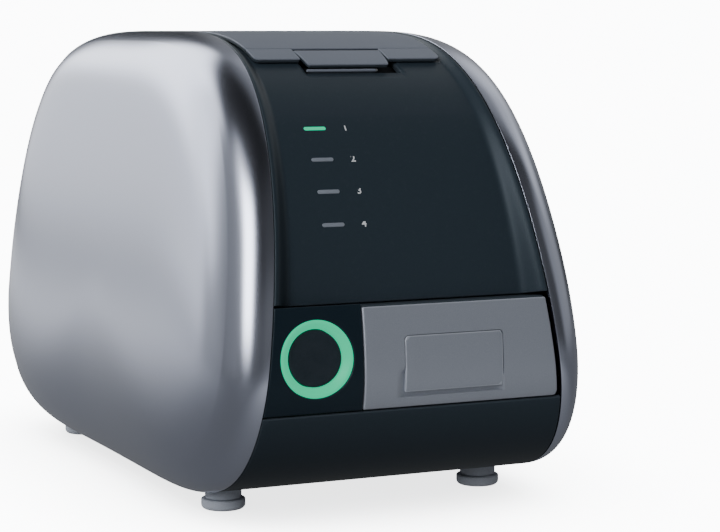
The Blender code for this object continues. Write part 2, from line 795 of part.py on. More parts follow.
def button_light_ring():
    """Translucent ring flush with the panel outside and sunk inside, with a flange behind the panel. Each ring
    of its loft is a circle of one radius that lies a set depth below the panel, or on a flat plane."""
    back = -BODY_DEPTH / 2 + RING_BACK_DEPTH
    highest = BUTTON_Z + RING_RADIUS + RING_FLANGE + OVERRUN
    flange = profile_point(angle_at_height(highest), PANEL_WALL)[0] + FIT_GAP
    rings = [
        (RING_RADIUS, 0, None), (RING_BORE, RING_RECESS, None), (RING_BORE, 0, back),
        (RING_RADIUS + RING_FLANGE, 0, back), (RING_RADIUS + RING_FLANGE, 0, flange), (RING_RADIUS, 0, flange),
    ]
    work = bmesh.new()
    loops = []
    for radius, depth, plane in rings:
        loop = []
        for x, z in circle((BUTTON_X, BUTTON_Z), radius, FINE_FACETS):
            y = profile_point(angle_at_height(z))[0] + depth if plane is None else plane
            loop.append(work.verts.new((x, y, z)))
        loops.append(loop)
    for first, second in zip(loops, loops[1:] + loops[:1]):
        for step in range(FINE_FACETS):
            following = (step + 1) % FINE_FACETS
            work.faces.new((first[step], first[following], second[following], second[step]))
    bmesh.ops.recalc_face_normals(work, faces=work.faces)
    place_piece("button_light_ring", mesh_from("button_light_ring", work), "light_green")


def start_button():
    """Round push button with a raised rim at its back, inside the ring light."""
    radius = RING_BORE - FIT_GAP
    face_y = -BODY_DEPTH / 2 + BUTTON_FACE_DEPTH
    profile = [
        (0, BUTTON_RIM), (radius - BUTTON_RIM, BUTTON_RIM), (radius, 0),
        (radius, -BUTTON_WALL), (0, -BUTTON_WALL),
    ]
    place = (BUTTON_X, face_y + BUTTON_RIM, BUTTON_Z)
    turned_piece("start_button", profile, "button_plastic", place, ALONG_Y, FINE_FACETS)


def button_board():
    """Small circuit board behind the ring, with the switch that the button presses."""
    front = -BODY_DEPTH / 2 + RING_BACK_DEPTH + FIT_GAP
    half = BUTTON_BOARD_WIDTH / 2
    low = (BUTTON_X - half, front, BUTTON_Z - half)
    high = (BUTTON_X + half, front + BOARD_WALL, CROSSBAR_BOTTOM - BUTTON_BOARD_DROP)
    board = box_piece("button_board", low, high, "circuit_board")
    side = SWITCH_SIDE / 2
    switch = box_cutter(
        "button_switch",
        (BUTTON_X - side, front - SWITCH_RISE, BUTTON_Z - side),
        (BUTTON_X + side, front + OVERRUN, BUTTON_Z + side),
    )
    join(board, switch)


def coil_points(radius, pitch, turns, per_turn):
    """Points of a helix about Z that starts at the origin's height."""
    steps = range(turns * per_turn + 1)
    return [
        (
            radius * math.cos(FULL_TURN * step / per_turn),
            radius * math.sin(FULL_TURN * step / per_turn),
            pitch * step / per_turn,
        )
        for step in steps
    ]


def coil_piece(name, radius, wire, pitch, turns, finish, place, turn):
    """A round-wire coil spring: a tube along a helix with filled ends."""
    curve = bpy.data.curves.new(name, "CURVE")
    curve.dimensions = "3D"
    curve.bevel_depth = wire
    curve.bevel_resolution = 0
    curve.use_fill_caps = True
    points = coil_points(radius, pitch, turns, COARSE_FACETS)
    spline = curve.splines.new("POLY")
    spline.points.add(len(points) - 1)
    for point, place_on_coil in zip(spline.points, points):
        point.co = (*place_on_coil, 1)
    place_piece(name, curve, finish, place, turn)


def button_spring():
    """Return spring between the button and its board."""
    start = -BODY_DEPTH / 2 + RING_BACK_DEPTH - BUTTON_SPRING_WIRE
    room = start - (-BODY_DEPTH / 2 + BUTTON_FACE_DEPTH + BUTTON_RIM + BUTTON_WALL) - BUTTON_SPRING_WIRE - FIT_GAP
    coil_piece(
        "button_spring", BUTTON_SPRING_RADIUS, BUTTON_SPRING_WIRE, room / BUTTON_SPRING_TURNS,
        BUTTON_SPRING_TURNS, "steel", (BUTTON_X, start, BUTTON_Z), ALONG_Y,
    )


def lid():
    """Grey top cover behind the hinge line."""
    angles = spread(angle_at_y(START_OF_LID), angle_at_y(LID_BACK_Y), 12)
    columns = [flat_column(-LID_HALF_WIDTH), flat_column(LID_HALF_WIDTH)]
    skin_piece("top_cover", angles, columns, PANEL_WALL, "lid_plastic")


def hinge_centre():
    """The flap's hinge axis passes through this (y, z)."""
    return profile_point(angle_at_y(HINGE_Y), BEAD_RADIUS + BEAD_COVER)


def cover_strip(name, side):
    """Fixed strip beside the flap, with the ear that holds the hinge pin."""
    angles = spread(angle_at_y(STRIP_FRONT_Y), angle_at_y(START_OF_LID - SEAM_GAP), 3)
    columns = sorted((side * (FLAP_HALF_WIDTH + SEAM_GAP), side * LID_HALF_WIDTH))
    strip = skin_piece(name, angles, [flat_column(x) for x in columns], STRIP_WALL, "lid_plastic")
    y, z = hinge_centre()
    inner = side * (FLAP_HALF_WIDTH + SEAM_GAP + FIT_GAP)
    ear = box_cutter(
        f"{name}_ear",
        (min(inner, inner + side * EAR_WIDTH), y - BEAD_RADIUS, z - BEAD_RADIUS),
        (max(inner, inner + side * EAR_WIDTH), y + BEAD_RADIUS, z + BEAD_RADIUS / 2),
    )
    join(strip, ear)
    bore = rod_mesh(f"{name}_bore", PIN_RADIUS + FIT_GAP, 4 * EAR_WIDTH, facets=COARSE_FACETS)
    cut(strip, place_cutter(f"{name}_bore", bore, (inner, y, z), ALONG_X))


def slot_flap():
    """Hinged cover of the feed slot: a curved plate on a round bead, drawn in a little at its nose."""
    origin = (0, *hinge_centre())
    hinge_angle = angle_at_y(HINGE_Y)
    nose_angle = angle_at_y(FLAP_FRONT_Y)

    def side_column(side):
        def place(angle, height):
            drawn = FLAP_NOSE_DRAW * (hinge_angle - angle) / (hinge_angle - nose_angle)
            return side * (FLAP_HALF_WIDTH - drawn), 0.0
        return place

    angles = spread(nose_angle, hinge_angle, 4)
    columns = [side_column(-1), side_column(1)]
    flap = skin_piece("slot_flap", angles, columns, STRIP_WALL, "lid_plastic", origin=origin)
    bead = rod_mesh("flap_bead", BEAD_RADIUS, 2 * FLAP_HALF_WIDTH - OVERRUN, facets=COARSE_FACETS)
    join(flap, place_cutter("flap_bead", bead, origin, ALONG_X))
    bore = rod_mesh("flap_bore", PIN_RADIUS + FIT_GAP, 3 * FLAP_HALF_WIDTH, facets=COARSE_FACETS)
    cut(flap, place_cutter("flap_bore", bore, origin, ALONG_X))
    bay = box_mesh("spring_bay", (SPRING_BAY, 3 * BEAD_RADIUS, 2 * BEAD_RADIUS))
    room = rod_mesh("spring_room", FLAP_SPRING_RADIUS + FLAP_SPRING_WIRE + FIT_GAP / 2, SPRING_BAY, facets=16)
    cut(
        flap,
        place_cutter("spring_bay", bay, (0, origin[1], origin[2] - BEAD_RADIUS)),
        place_cutter("spring_room", room, origin, ALONG_X),
    )


def flap_hinge():
    """Steel pin of the flap and the small spring that closes it."""
    y, z = hinge_centre()
    length = 2 * (FLAP_HALF_WIDTH + SEAM_GAP + EAR_WIDTH)
    pin = rod_mesh("flap_hinge_pin", PIN_RADIUS, length, facets=12)
    place_piece("flap_hinge_pin", pin, "steel", (0, y, z), ALONG_X)
    pitch = (SPRING_BAY - 4 * FLAP_SPRING_WIRE) / (FLAP_SPRING_TURNS + 1)
    start = (-pitch * FLAP_SPRING_TURNS / 2, y, z)
    coil_piece(
        "flap_spring", FLAP_SPRING_RADIUS, FLAP_SPRING_WIRE, pitch, FLAP_SPRING_TURNS, "steel", start, ALONG_X
    )


def socket_places():
    """Name, x, width and height of each cut-out for a socket or switch."""
    return (
        ("power_inlet", INLET_X, INLET_WIDTH, INLET_HEIGHT),
        ("data_port", PORT_X, PORT_WIDTH, PORT_HEIGHT),
        ("switch_housing", SWITCH_X, SWITCH_WIDTH, SWITCH_HEIGHT),
    )


def rear_panel():
    """Back of the body, with the fan's vent slots and the cut-outs of the sockets and the switch."""
    angles = spread(angle_at_y(BACK_SEAM_Y + SEAM_GAP), angle_at_y(UNDER_SEAM_Y, under=True), 16)
    panel = skin_piece("rear_panel", angles, [edge_column(-1), edge_column(1)], PANEL_WALL, "dark_plastic")
    lowest = FAN_Z - VENT_PITCH * (VENT_COUNT - 1) / 2
    centres = [(0, BODY_DEPTH / 2, lowest + VENT_PITCH * number) for number in range(VENT_COUNT)]
    slots = box_mesh("vent_slots", (VENT_LENGTH, 10 * PANEL_WALL, VENT_HEIGHT), centres)
    cut(panel, place_cutter("vent_slots", slots))
    for name, x, width, height in socket_places():
        size = (width + 2 * FIT_GAP, 8 * PANEL_WALL, height + 2 * FIT_GAP)
        opening = box_mesh(f"{name}_opening", size, [(x, BODY_DEPTH / 2, SOCKET_Z)])
        cut(panel, place_cutter(f"{name}_opening", opening))


def base_plate():
    """Bottom of the body, with bosses for the feet below and for the chassis above."""
    under = UNDER_SEAM_Y - SEAM_GAP
    angles = spread(angle_at_y(under, under=True), angle_at_y(-under, under=True), 12)
    plate = skin_piece("base_plate", angles, [edge_column(-1), edge_column(1)], PANEL_WALL, "dark_plastic")
    foot_top = FOOT_HEIGHT + FIT_GAP
    foot_length = UNDERSIDE_HEIGHT + PANEL_WALL - foot_top
    feet = [
        (x * FOOT_X, y * FOOT_Y, foot_top + foot_length / 2) for x in (-1, 1) for y in (-1, 1)
    ]
    join(plate, place_cutter("foot_bosses", rod_mesh("foot_bosses", FOOT_BOSS_RADIUS, foot_length, feet)))
    boss_top = CHASSIS_BOTTOM - FIT_GAP
    boss_bottom = UNDERSIDE_HEIGHT + PANEL_WALL / 2
    bosses = [
        (x * CHASSIS_BOSS_X, y * CHASSIS_BOSS_Y, (boss_top + boss_bottom) / 2) for x in (-1, 1) for y in (-1, 1)
    ]
    rods = rod_mesh("chassis_bosses", CHASSIS_BOSS_RADIUS, boss_top - boss_bottom, bosses, COARSE_FACETS)
    join(plate, place_cutter("chassis_bosses", rods))


def feet():
    """Four rubber feet with a round lower edge."""
    profile = [
        (0, FOOT_HEIGHT), (FOOT_RADIUS - FOOT_ROUND / 4, FOOT_HEIGHT), (FOOT_RADIUS, FOOT_HEIGHT - FOOT_ROUND / 4),
        (FOOT_RADIUS, FOOT_ROUND), (FOOT_RADIUS - FOOT_ROUND * 0.3, FOOT_ROUND * 0.3),
        (FOOT_RADIUS - FOOT_ROUND, 0), (0, 0),
    ]
    places = {"front_left": (-1, -1), "front_right": (1, -1), "rear_left": (-1, 1), "rear_right": (1, 1)}
    for name, (x, y) in places.items():
        turned_piece(f"foot_{name}", profile, "foot_rubber", (x * FOOT_X, y * FOOT_Y, 0))


def tray_right_column(extra=0.0):
    return edge_column(1, TRAY_RIGHT_GAP - SEAM_GAP + extra)


def bin_sides():
    """The tray bin's outer left and right x."""
    right = panel_edge(TRAY_TOP) - TRAY_RIGHT_GAP - BIN_SIDE_MARGIN
    return TRAY_LEFT + BIN_SIDE_MARGIN, right


def tray():
    """Silver tray front with its finger pull, and the open bin behind it."""
    angles = spread(angle_at_height(TRAY_BOTTOM), angle_at_height(TRAY_TOP), 8)
    columns = [flat_column(TRAY_LEFT), tray_right_column()]
    front = skin_piece("tray_front", angles, columns, TRAY_WALL, "tray_paint")
    pocket_angles = spread(
        angle_at_height(PULL_BOTTOM - PULL_GROOVE), angle_at_height(PULL_TOP + FIT_GAP), 6
    )
    pocket_columns = [flat_column(PULL_LEFT - FIT_GAP, -OVERRUN), flat_column(PULL_RIGHT + FIT_GAP, -OVERRUN)]
    cut(front, skin_cutter("pull_pocket", pocket_angles, pocket_columns, PULL_POCKET + OVERRUN))

    pull_angles = spread(angle_at_height(PULL_BOTTOM), angle_at_height(PULL_TOP), 6)
    pull_columns = [flat_column(PULL_LEFT), flat_column(PULL_RIGHT)]
    skin_piece("tray_pull", pull_angles, pull_columns, PULL_WALL, "tray_paint")

    left, right = bin_sides()
    front_y = max(
        profile_point(angle_at_height(height), TRAY_WALL + FIT_GAP)[0]
        for height in (TRAY_BOTTOM, BIN_TOP)
    )
    bottom = TRAY_BOTTOM + BIN_FLOOR_LIFT
    bin_piece = box_piece("tray_bin", (left, front_y, bottom), (right, BIN_BACK_Y, BIN_TOP), "tray_paint")
    hollow = box_cutter(
        "bin_hollow",
        (left + BIN_WALL, front_y + BIN_WALL, bottom + BIN_WALL),
        (right - BIN_WALL, BIN_BACK_Y - BIN_WALL, BIN_TOP + OVERRUN),
    )
    cut(bin_piece, hollow)


def tray_shelf():
    """Channel that carries the bin: a floor, two low side walls that guide it, and two legs on the chassis."""
    left, right = bin_sides()
    inner_left = left - RUNNING_GAP
    inner_right = right + RUNNING_GAP
    outer_left = inner_left - SHELF_WALL
    outer_right = inner_right + SHELF_WALL
    top = TRAY_BOTTOM + BIN_FLOOR_LIFT - FIT_GAP
    under = top - SHELF_WALL
    foot = CHASSIS_BOTTOM + CHASSIS_WALL + FIT_GAP
    loop = [
        (outer_left, foot), (inner_left, foot), (inner_left, under), (inner_right, under), (inner_right, foot),
        (outer_right, foot), (outer_right, top + SHELF_GUIDE), (inner_right, top + SHELF_GUIDE),
        (inner_right, top), (inner_left, top), (inner_left, top + SHELF_GUIDE), (outer_left, top + SHELF_GUIDE),
    ]
    place = (0, (SHELF_FRONT_Y + SHELF_BACK_Y) / 2, 0)
    shelf = outline_piece("tray_shelf", [loop], SHELF_BACK_Y - SHELF_FRONT_Y, "chassis_steel", place, OUTLINE_IN_XZ)
    relief = box_cutter(
        "shelf_relief",
        (outer_left - OVERRUN, SHELF_FRONT_Y - OVERRUN, foot - OVERRUN),
        (outer_right + OVERRUN, OVERRUN - chassis_half_depth(), under - OVERRUN),
    )
    cut(shelf, relief)


def chassis_half_depth():
    """Half the floor plate's depth, out to where the base curves up to it."""
    height = CHASSIS_BOTTOM - PANEL_WALL - 2 * FIT_GAP
    front = profile_point(angle_at_height(height))[0]
    back = profile_point(angle_at_height(height, back=True))[0]
    return min(-front, back)


def chassis():
    """Steel floor plate and the two side frames that stand on it."""
    top = CHASSIS_BOTTOM + CHASSIS_WALL
    depth = chassis_half_depth()
    box_piece(
        "chassis_plate",
        (-CHASSIS_HALF_WIDTH, -depth, CHASSIS_BOTTOM),
        (CHASSIS_HALF_WIDTH, depth, top),
        "chassis_steel",
    )
    foot = top + FIT_GAP
    loop = [
        (FRAME_LEG_FRONT_Y, foot), (FRAME_BACK_Y, foot), (FRAME_BACK_Y, FRAME_TOP), (FRAME_FRONT_Y, FRAME_TOP),
        (FRAME_FRONT_Y, FRAME_ARM_BOTTOM), (FRAME_LEG_FRONT_Y, FRAME_ARM_BOTTOM),
    ]
    holes = [circle(centre, SHAFT_RADIUS + FIT_GAP) for centre in drive_centres() + pinch_centres()]
    holes.append(circle((GUIDE_ROD_Y, GUIDE_ROD_Z), GUIDE_ROD_RADIUS + FIT_GAP, FACETS))
    pilot = circle((MOTOR_Y, MOTOR_Z), MOTOR_PILOT_RADIUS + FIT_GAP, FACETS)
    middle_x = FRAME_INNER_X + FRAME_WALL / 2
    for name, side, loops in (
        ("left_side_frame", -1, [loop, *holes, pilot]), ("right_side_frame", 1, [loop, *holes])
    ):
        outline_piece(name, loops, FRAME_WALL, "chassis_steel", (side * middle_x, 0, 0), OUTLINE_IN_YZ)


def drive_centres():
    """(y, z) of the upper and lower drive rollers, behind the plate path."""
    y = PATH_Y + ROLLER_RADIUS + ROLLER_NIP / 2
    return [(y, UPPER_ROLLER_Z), (y, LOWER_ROLLER_Z)]


def pinch_centres():
    """(y, z) of the upper and lower pinch rollers, in front of the plate path."""
    y = PATH_Y - ROLLER_RADIUS - ROLLER_NIP / 2
    return [(y, UPPER_ROLLER_Z), (y, LOWER_ROLLER_Z)]


def pulley_x():
    """The x of the belt's middle, outside the left frame."""
    return -(FRAME_INNER_X + FRAME_WALL + PULLEY_GAP + PULLEY_WIDTH / 2)


def roller(name, centre, left_end, right_end):
    """A rubber roller on its shaft, which runs from left_end to right_end."""
    half = FRAME_INNER_X - ROLLER_END_GAP
    profile = [
        (0, right_end), (SHAFT_RADIUS, right_end), (SHAFT_RADIUS, half), (ROLLER_RADIUS, half),
        (ROLLER_RADIUS, -half), (SHAFT_RADIUS, -half), (SHAFT_RADIUS, left_end), (0, left_end),
    ]
    turned_piece(name, profile, "roller_rubber", (0, *centre), ALONG_X, 20)


def rollers():
    outside = FRAME_INNER_X + FRAME_WALL + SHAFT_STUB
    pulley_end = pulley_x() - PULLEY_WIDTH / 2 - SHAFT_STUB
    for level, drive, pinch in zip(("upper", "lower"), drive_centres(), pinch_centres()):
        roller(f"{level}_drive_roller", drive, pulley_end, outside)
        roller(f"{level}_pinch_roller", pinch, -outside, outside)


def pulley(name, centre, radius, bore):
    """A plain flat pulley on a shaft."""
    half = PULLEY_WIDTH / 2
    profile = [(radius, half), (radius, -half), (bore, -half), (bore, half)]
    turned_piece(name, profile, "black_plastic", (pulley_x(), *centre), ALONG_X)


def belt_loop(offset):
    """Points of the belt round its three pulleys, a set distance outside them: for each of many directions, the
    furthest point of the three circles."""
    circles = [(centre, ROLLER_PULLEY_RADIUS) for centre in drive_centres()]
    circles.append(((MOTOR_Y, MOTOR_Z), MOTOR_PULLEY_RADIUS))
    points = []
    for step in range(FINE_FACETS):
        angle = FULL_TURN * step / FINE_FACETS
        way = (math.cos(angle), math.sin(angle))
        centre, radius = max(circles, key=lambda each: each[0][0] * way[0] + each[0][1] * way[1] + each[1])
        points.append((centre[0] + (radius + offset) * way[0], centre[1] + (radius + offset) * way[1]))
    return points


def belt_drive():
    """Pulleys, belt and motor on the left side frame."""
    for level, centre in zip(("upper", "lower"), drive_centres()):
        pulley(f"{level}_roller_pulley", centre, ROLLER_PULLEY_RADIUS, SHAFT_RADIUS + FIT_GAP)
    loops = [belt_loop(2 * FIT_GAP + BELT_WALL), belt_loop(2 * FIT_GAP)[::-1]]
    outline_piece("drive_belt", loops, PULLEY_WIDTH, "roller_rubber", (pulley_x(), 0, 0), OUTLINE_IN_YZ)

    face = -FRAME_INNER_X + FIT_GAP
    side = MOTOR_SIDE / 2
    low = (face, MOTOR_Y - side, MOTOR_Z - side)
    high = (face + MOTOR_LENGTH, MOTOR_Y + side, MOTOR_Z + side)
    motor = box_piece("feed_motor", low, high, "steel")
    soften(motor, MOTOR_CORNER, 1)
    pilot_x = face - FRAME_WALL / 2
    pilot = rod_mesh("motor_pilot", MOTOR_PILOT_RADIUS, FRAME_WALL + OVERRUN)
    join(motor, place_cutter("motor_pilot", pilot, (pilot_x + OVERRUN / 2, MOTOR_Y, MOTOR_Z), ALONG_X))
    bore = rod_mesh("motor_bore", MOTOR_SHAFT_RADIUS + FIT_GAP, 2 * (MOTOR_SHAFT_DEPTH + FRAME_WALL))
    cut(motor, place_cutter("motor_bore", bore, (pilot_x, MOTOR_Y, MOTOR_Z), ALONG_X))

    half = PULLEY_WIDTH / 2
    shaft_end = face + MOTOR_SHAFT_DEPTH - pulley_x()
    profile = [
        (0, shaft_end), (MOTOR_SHAFT_RADIUS, shaft_end), (MOTOR_SHAFT_RADIUS, half), (MOTOR_PULLEY_RADIUS, half),
        (MOTOR_PULLEY_RADIUS, -half), (0, -half),
    ]
    turned_piece("motor_pulley", profile, "steel", (pulley_x(), MOTOR_Y, MOTOR_Z), ALONG_X)


def chute():
    """Guides that lead a plate from the slot down to the upper rollers, with a round lip on the front one."""
    front_foot = PATH_Y - PATH_HALF_GAP
    lip_y, lip_z = below_profile(LIP_Y, LIP_DROP)
    slope = [
        (front_foot, CHUTE_BOTTOM), (lip_y, lip_z), (lip_y - CHUTE_WALL, lip_z),
        (front_foot - CHUTE_WALL, CHUTE_BOTTOM),
    ]
    width = 2 * (FRAME_INNER_X - FIT_GAP)
    front = outline_piece("chute_front_guide", [slope], width, "black_plastic", (0, 0, 0), OUTLINE_IN_YZ)
    for name, low_x, high_x in (
        ("chute_left_notch", -FRAME_INNER_X, -LIP_HALF_WIDTH), ("chute_right_notch", LIP_HALF_WIDTH, FRAME_INNER_X)
    ):
        low = (low_x, lip_y - 2 * CHUTE_WALL, lip_z - CHUTE_SHOULDER_DROP)
        high = (high_x, front_foot + CHUTE_WALL, lip_z + OVERRUN)
        cut(front, box_cutter(name, low, high))
    lip = rod_mesh("chute_lip", LIP_RADIUS, 2 * LIP_HALF_WIDTH + FIT_GAP, facets=16)
    join(front, place_cutter("chute_lip", lip, (0, lip_y, lip_z), ALONG_X))

    rear_foot = PATH_Y + PATH_HALF_GAP
    top_y, top_z = below_profile(CHUTE_REAR_Y, CHUTE_REAR_DROP)
    rear = [
        (rear_foot, CHUTE_BOTTOM), (rear_foot + CHUTE_WALL, CHUTE_BOTTOM), (top_y + CHUTE_WALL, top_z),
        (top_y, top_z),
    ]
    outline_piece("chute_rear_guide", [rear], width, "black_plastic", (0, 0, 0), OUTLINE_IN_YZ)


def optics():
    """Open optical box with its laser, spinning mirror and lens, the light guide with its detector, and the
    eraser bar across the plate path."""
    half = FRAME_INNER_X - FIT_GAP
    box = box_piece(
        "optics_housing", (-half, OPTICS_FRONT_Y, OPTICS_BOTTOM), (half, OPTICS_BACK_Y, OPTICS_TOP), "black_plastic"
    )
    hollow = box_cutter(
        "optics_hollow",
        (OPTICS_WALL - half, OPTICS_FRONT_Y + OPTICS_WALL, OPTICS_BOTTOM + OPTICS_WALL),
        (half - OPTICS_WALL, OPTICS_BACK_Y - OPTICS_WALL, OPTICS_TOP + OVERRUN),
    )
    slit = box_cutter(
        "scan_slit",
        (-SCAN_SLIT_WIDTH / 2, OPTICS_FRONT_Y - OVERRUN, SCAN_SLIT_Z - SCAN_SLIT_HEIGHT / 2),
        (SCAN_SLIT_WIDTH / 2, OPTICS_FRONT_Y + OPTICS_WALL + OVERRUN, SCAN_SLIT_Z + SCAN_SLIT_HEIGHT / 2),
    )
    cut(box, hollow, slit)

    floor = OPTICS_BOTTOM + OPTICS_WALL + FIT_GAP
    mirror_bottom = floor + MIRROR_MOTOR_HEIGHT + MIRROR_GAP
    spindle_foot = floor + MIRROR_MOTOR_HEIGHT / 3
    bore = MIRROR_SPINDLE_RADIUS + FIT_GAP
    motor = [
        (bore, MIRROR_MOTOR_HEIGHT), (MIRROR_MOTOR_RADIUS, MIRROR_MOTOR_HEIGHT), (MIRROR_MOTOR_RADIUS, 0),
        (bore, 0),
    ]
    turned_piece("mirror_motor", motor, "steel", (MIRROR_X, MIRROR_Y, floor))
    loop = circle((0, 0), MIRROR_RADIUS, MIRROR_SIDES)
    centre = (MIRROR_X, MIRROR_Y, mirror_bottom + MIRROR_HEIGHT / 2)
    mirror = outline_piece("polygon_mirror", [loop], MIRROR_HEIGHT, "mirror", centre, (0, 0, 0))
    length = mirror_bottom + MIRROR_HEIGHT / 2 - spindle_foot
    spindle = rod_mesh("mirror_spindle", MIRROR_SPINDLE_RADIUS, length, facets=COARSE_FACETS)
    join(mirror, place_cutter("mirror_spindle", spindle, (MIRROR_X, MIRROR_Y, spindle_foot + length / 2)))

    laser_x = OPTICS_WALL + FIT_GAP - half + LASER_LENGTH / 2
    laser = rod_mesh("laser_module", LASER_RADIUS, LASER_LENGTH)
    laser_z = max(centre[2], floor + LASER_RADIUS)
    place_piece("laser_module", laser, "steel", (laser_x, MIRROR_Y, laser_z), ALONG_X)

    edge = LENS_LENGTH / 2
    crown = [(edge * share, -LENS_EDGE - LENS_CROWN * (1 - share ** 2)) for share in (-1, -0.6, -0.2, 0.2, 0.6, 1)]
    lens_loop = [(edge, 0), (-edge, 0), *crown]
    lens_z = floor + LENS_HEIGHT / 2
    outline_piece("scan_lens", [lens_loop], LENS_HEIGHT, "clear_plastic", (0, LENS_Y, lens_z), (0, 0, 0))

    outside = FRAME_INNER_X + FRAME_WALL
    rod_left = -outside
    rod_right = outside + OVERRUN
    rod = rod_mesh("light_guide", GUIDE_ROD_RADIUS, rod_right - rod_left, facets=20)
    place_piece("light_guide", rod, "clear_plastic", ((rod_left + rod_right) / 2, GUIDE_ROD_Y, GUIDE_ROD_Z), ALONG_X)
    detector = rod_mesh("photomultiplier", DETECTOR_RADIUS, DETECTOR_LENGTH)
    detector_x = rod_right + FIT_GAP + DETECTOR_LENGTH / 2
    place_piece("photomultiplier", detector, "steel", (detector_x, GUIDE_ROD_Y, GUIDE_ROD_Z), ALONG_X)

    back = PATH_Y - PATH_HALF_GAP
    top = ERASER_BOTTOM + ERASER_HEIGHT
    loop = [
        (back, ERASER_BOTTOM), (back, top), (ERASER_FRONT_Y + ERASER_CHAMFER, top),
        (ERASER_FRONT_Y, top - ERASER_CHAMFER), (ERASER_FRONT_Y, ERASER_BOTTOM),
    ]
    outline_piece("eraser_bar", [loop], 2 * half, "chassis_steel", (0, 0, 0), OUTLINE_IN_YZ)


def main_board():
    """Circuit board on four standoffs outside the right frame, with its chips and connectors."""
    board = box_piece(
        "main_board", (BOARD_X, BOARD_FRONT_Y, BOARD_BOTTOM), (BOARD_X + BOARD_WALL, BOARD_BACK_Y, BOARD_TOP),
        "circuit_board",
    )
    inner = FRAME_INNER_X + FRAME_WALL + FIT_GAP
    length = BOARD_X + BOARD_WALL / 2 - inner
    work = bmesh.new()
    for y in (BOARD_FRONT_Y + STANDOFF_INSET, BOARD_BACK_Y - STANDOFF_INSET):
        for z in (BOARD_BOTTOM + STANDOFF_INSET, BOARD_TOP - STANDOFF_INSET):
            matrix = Matrix.Translation((inner + length / 2, y, z)) @ Matrix.Rotation(QUARTER_TURN, 4, "Y")
            bmesh.ops.create_cone(
                work, cap_ends=True, segments=10, radius1=STANDOFF_RADIUS, radius2=STANDOFF_RADIUS, depth=length,
                matrix=matrix,
            )
    join(board, place_cutter("standoffs", mesh_from("standoffs", work)))
    face = BOARD_X + BOARD_WALL / 2
    centre_y = (BOARD_FRONT_Y + BOARD_BACK_Y) / 2
    chips = [
        (face + CHIP_HEIGHT / 2, centre_y, BOARD_TOP - 2 * CHIP_SIDE),
        (face + CHIP_HEIGHT / 2, centre_y + 2 * CHIP_SIDE, BOARD_TOP - 2 * CHIP_SIDE),
        (face + CHIP_HEIGHT / 2, centre_y - 2 * CHIP_SIDE, BOARD_TOP - 2 * CHIP_SIDE),
    ]
    join(board, place_cutter("chips", box_mesh("chips", (CHIP_HEIGHT, CHIP_SIDE, CHIP_SIDE), chips)))
    connectors = [
        (face + CONNECTOR_HEIGHT / 2, centre_y + way * CONNECTOR_LENGTH, BOARD_BOTTOM + CONNECTOR_HEIGHT)
        for way in (-1, 1)
    ]
    size = (CONNECTOR_HEIGHT, CONNECTOR_LENGTH, CONNECTOR_HEIGHT)
    join(board, place_cutter("connectors", box_mesh("connectors", size, connectors)))


def power_supply():
    bottom = CHASSIS_BOTTOM + CHASSIS_WALL + FIT_GAP
    box = box_piece(
        "power_supply", (-SUPPLY_HALF_WIDTH, SUPPLY_FRONT_Y, bottom),
        (SUPPLY_HALF_WIDTH, SUPPLY_BACK_Y, bottom + SUPPLY_HEIGHT), "chassis_steel",
    )
    soften(box, SUPPLY_CHAMFER, 1)


def fan_back_y():
    """The fan's back face, just inside the rear panel where the panel leans in most."""
    highest = FAN_Z + FAN_SIDE / 2 + PANEL_WALL
    return profile_point(angle_at_height(highest, back=True), PANEL_WALL)[0] - FIT_GAP


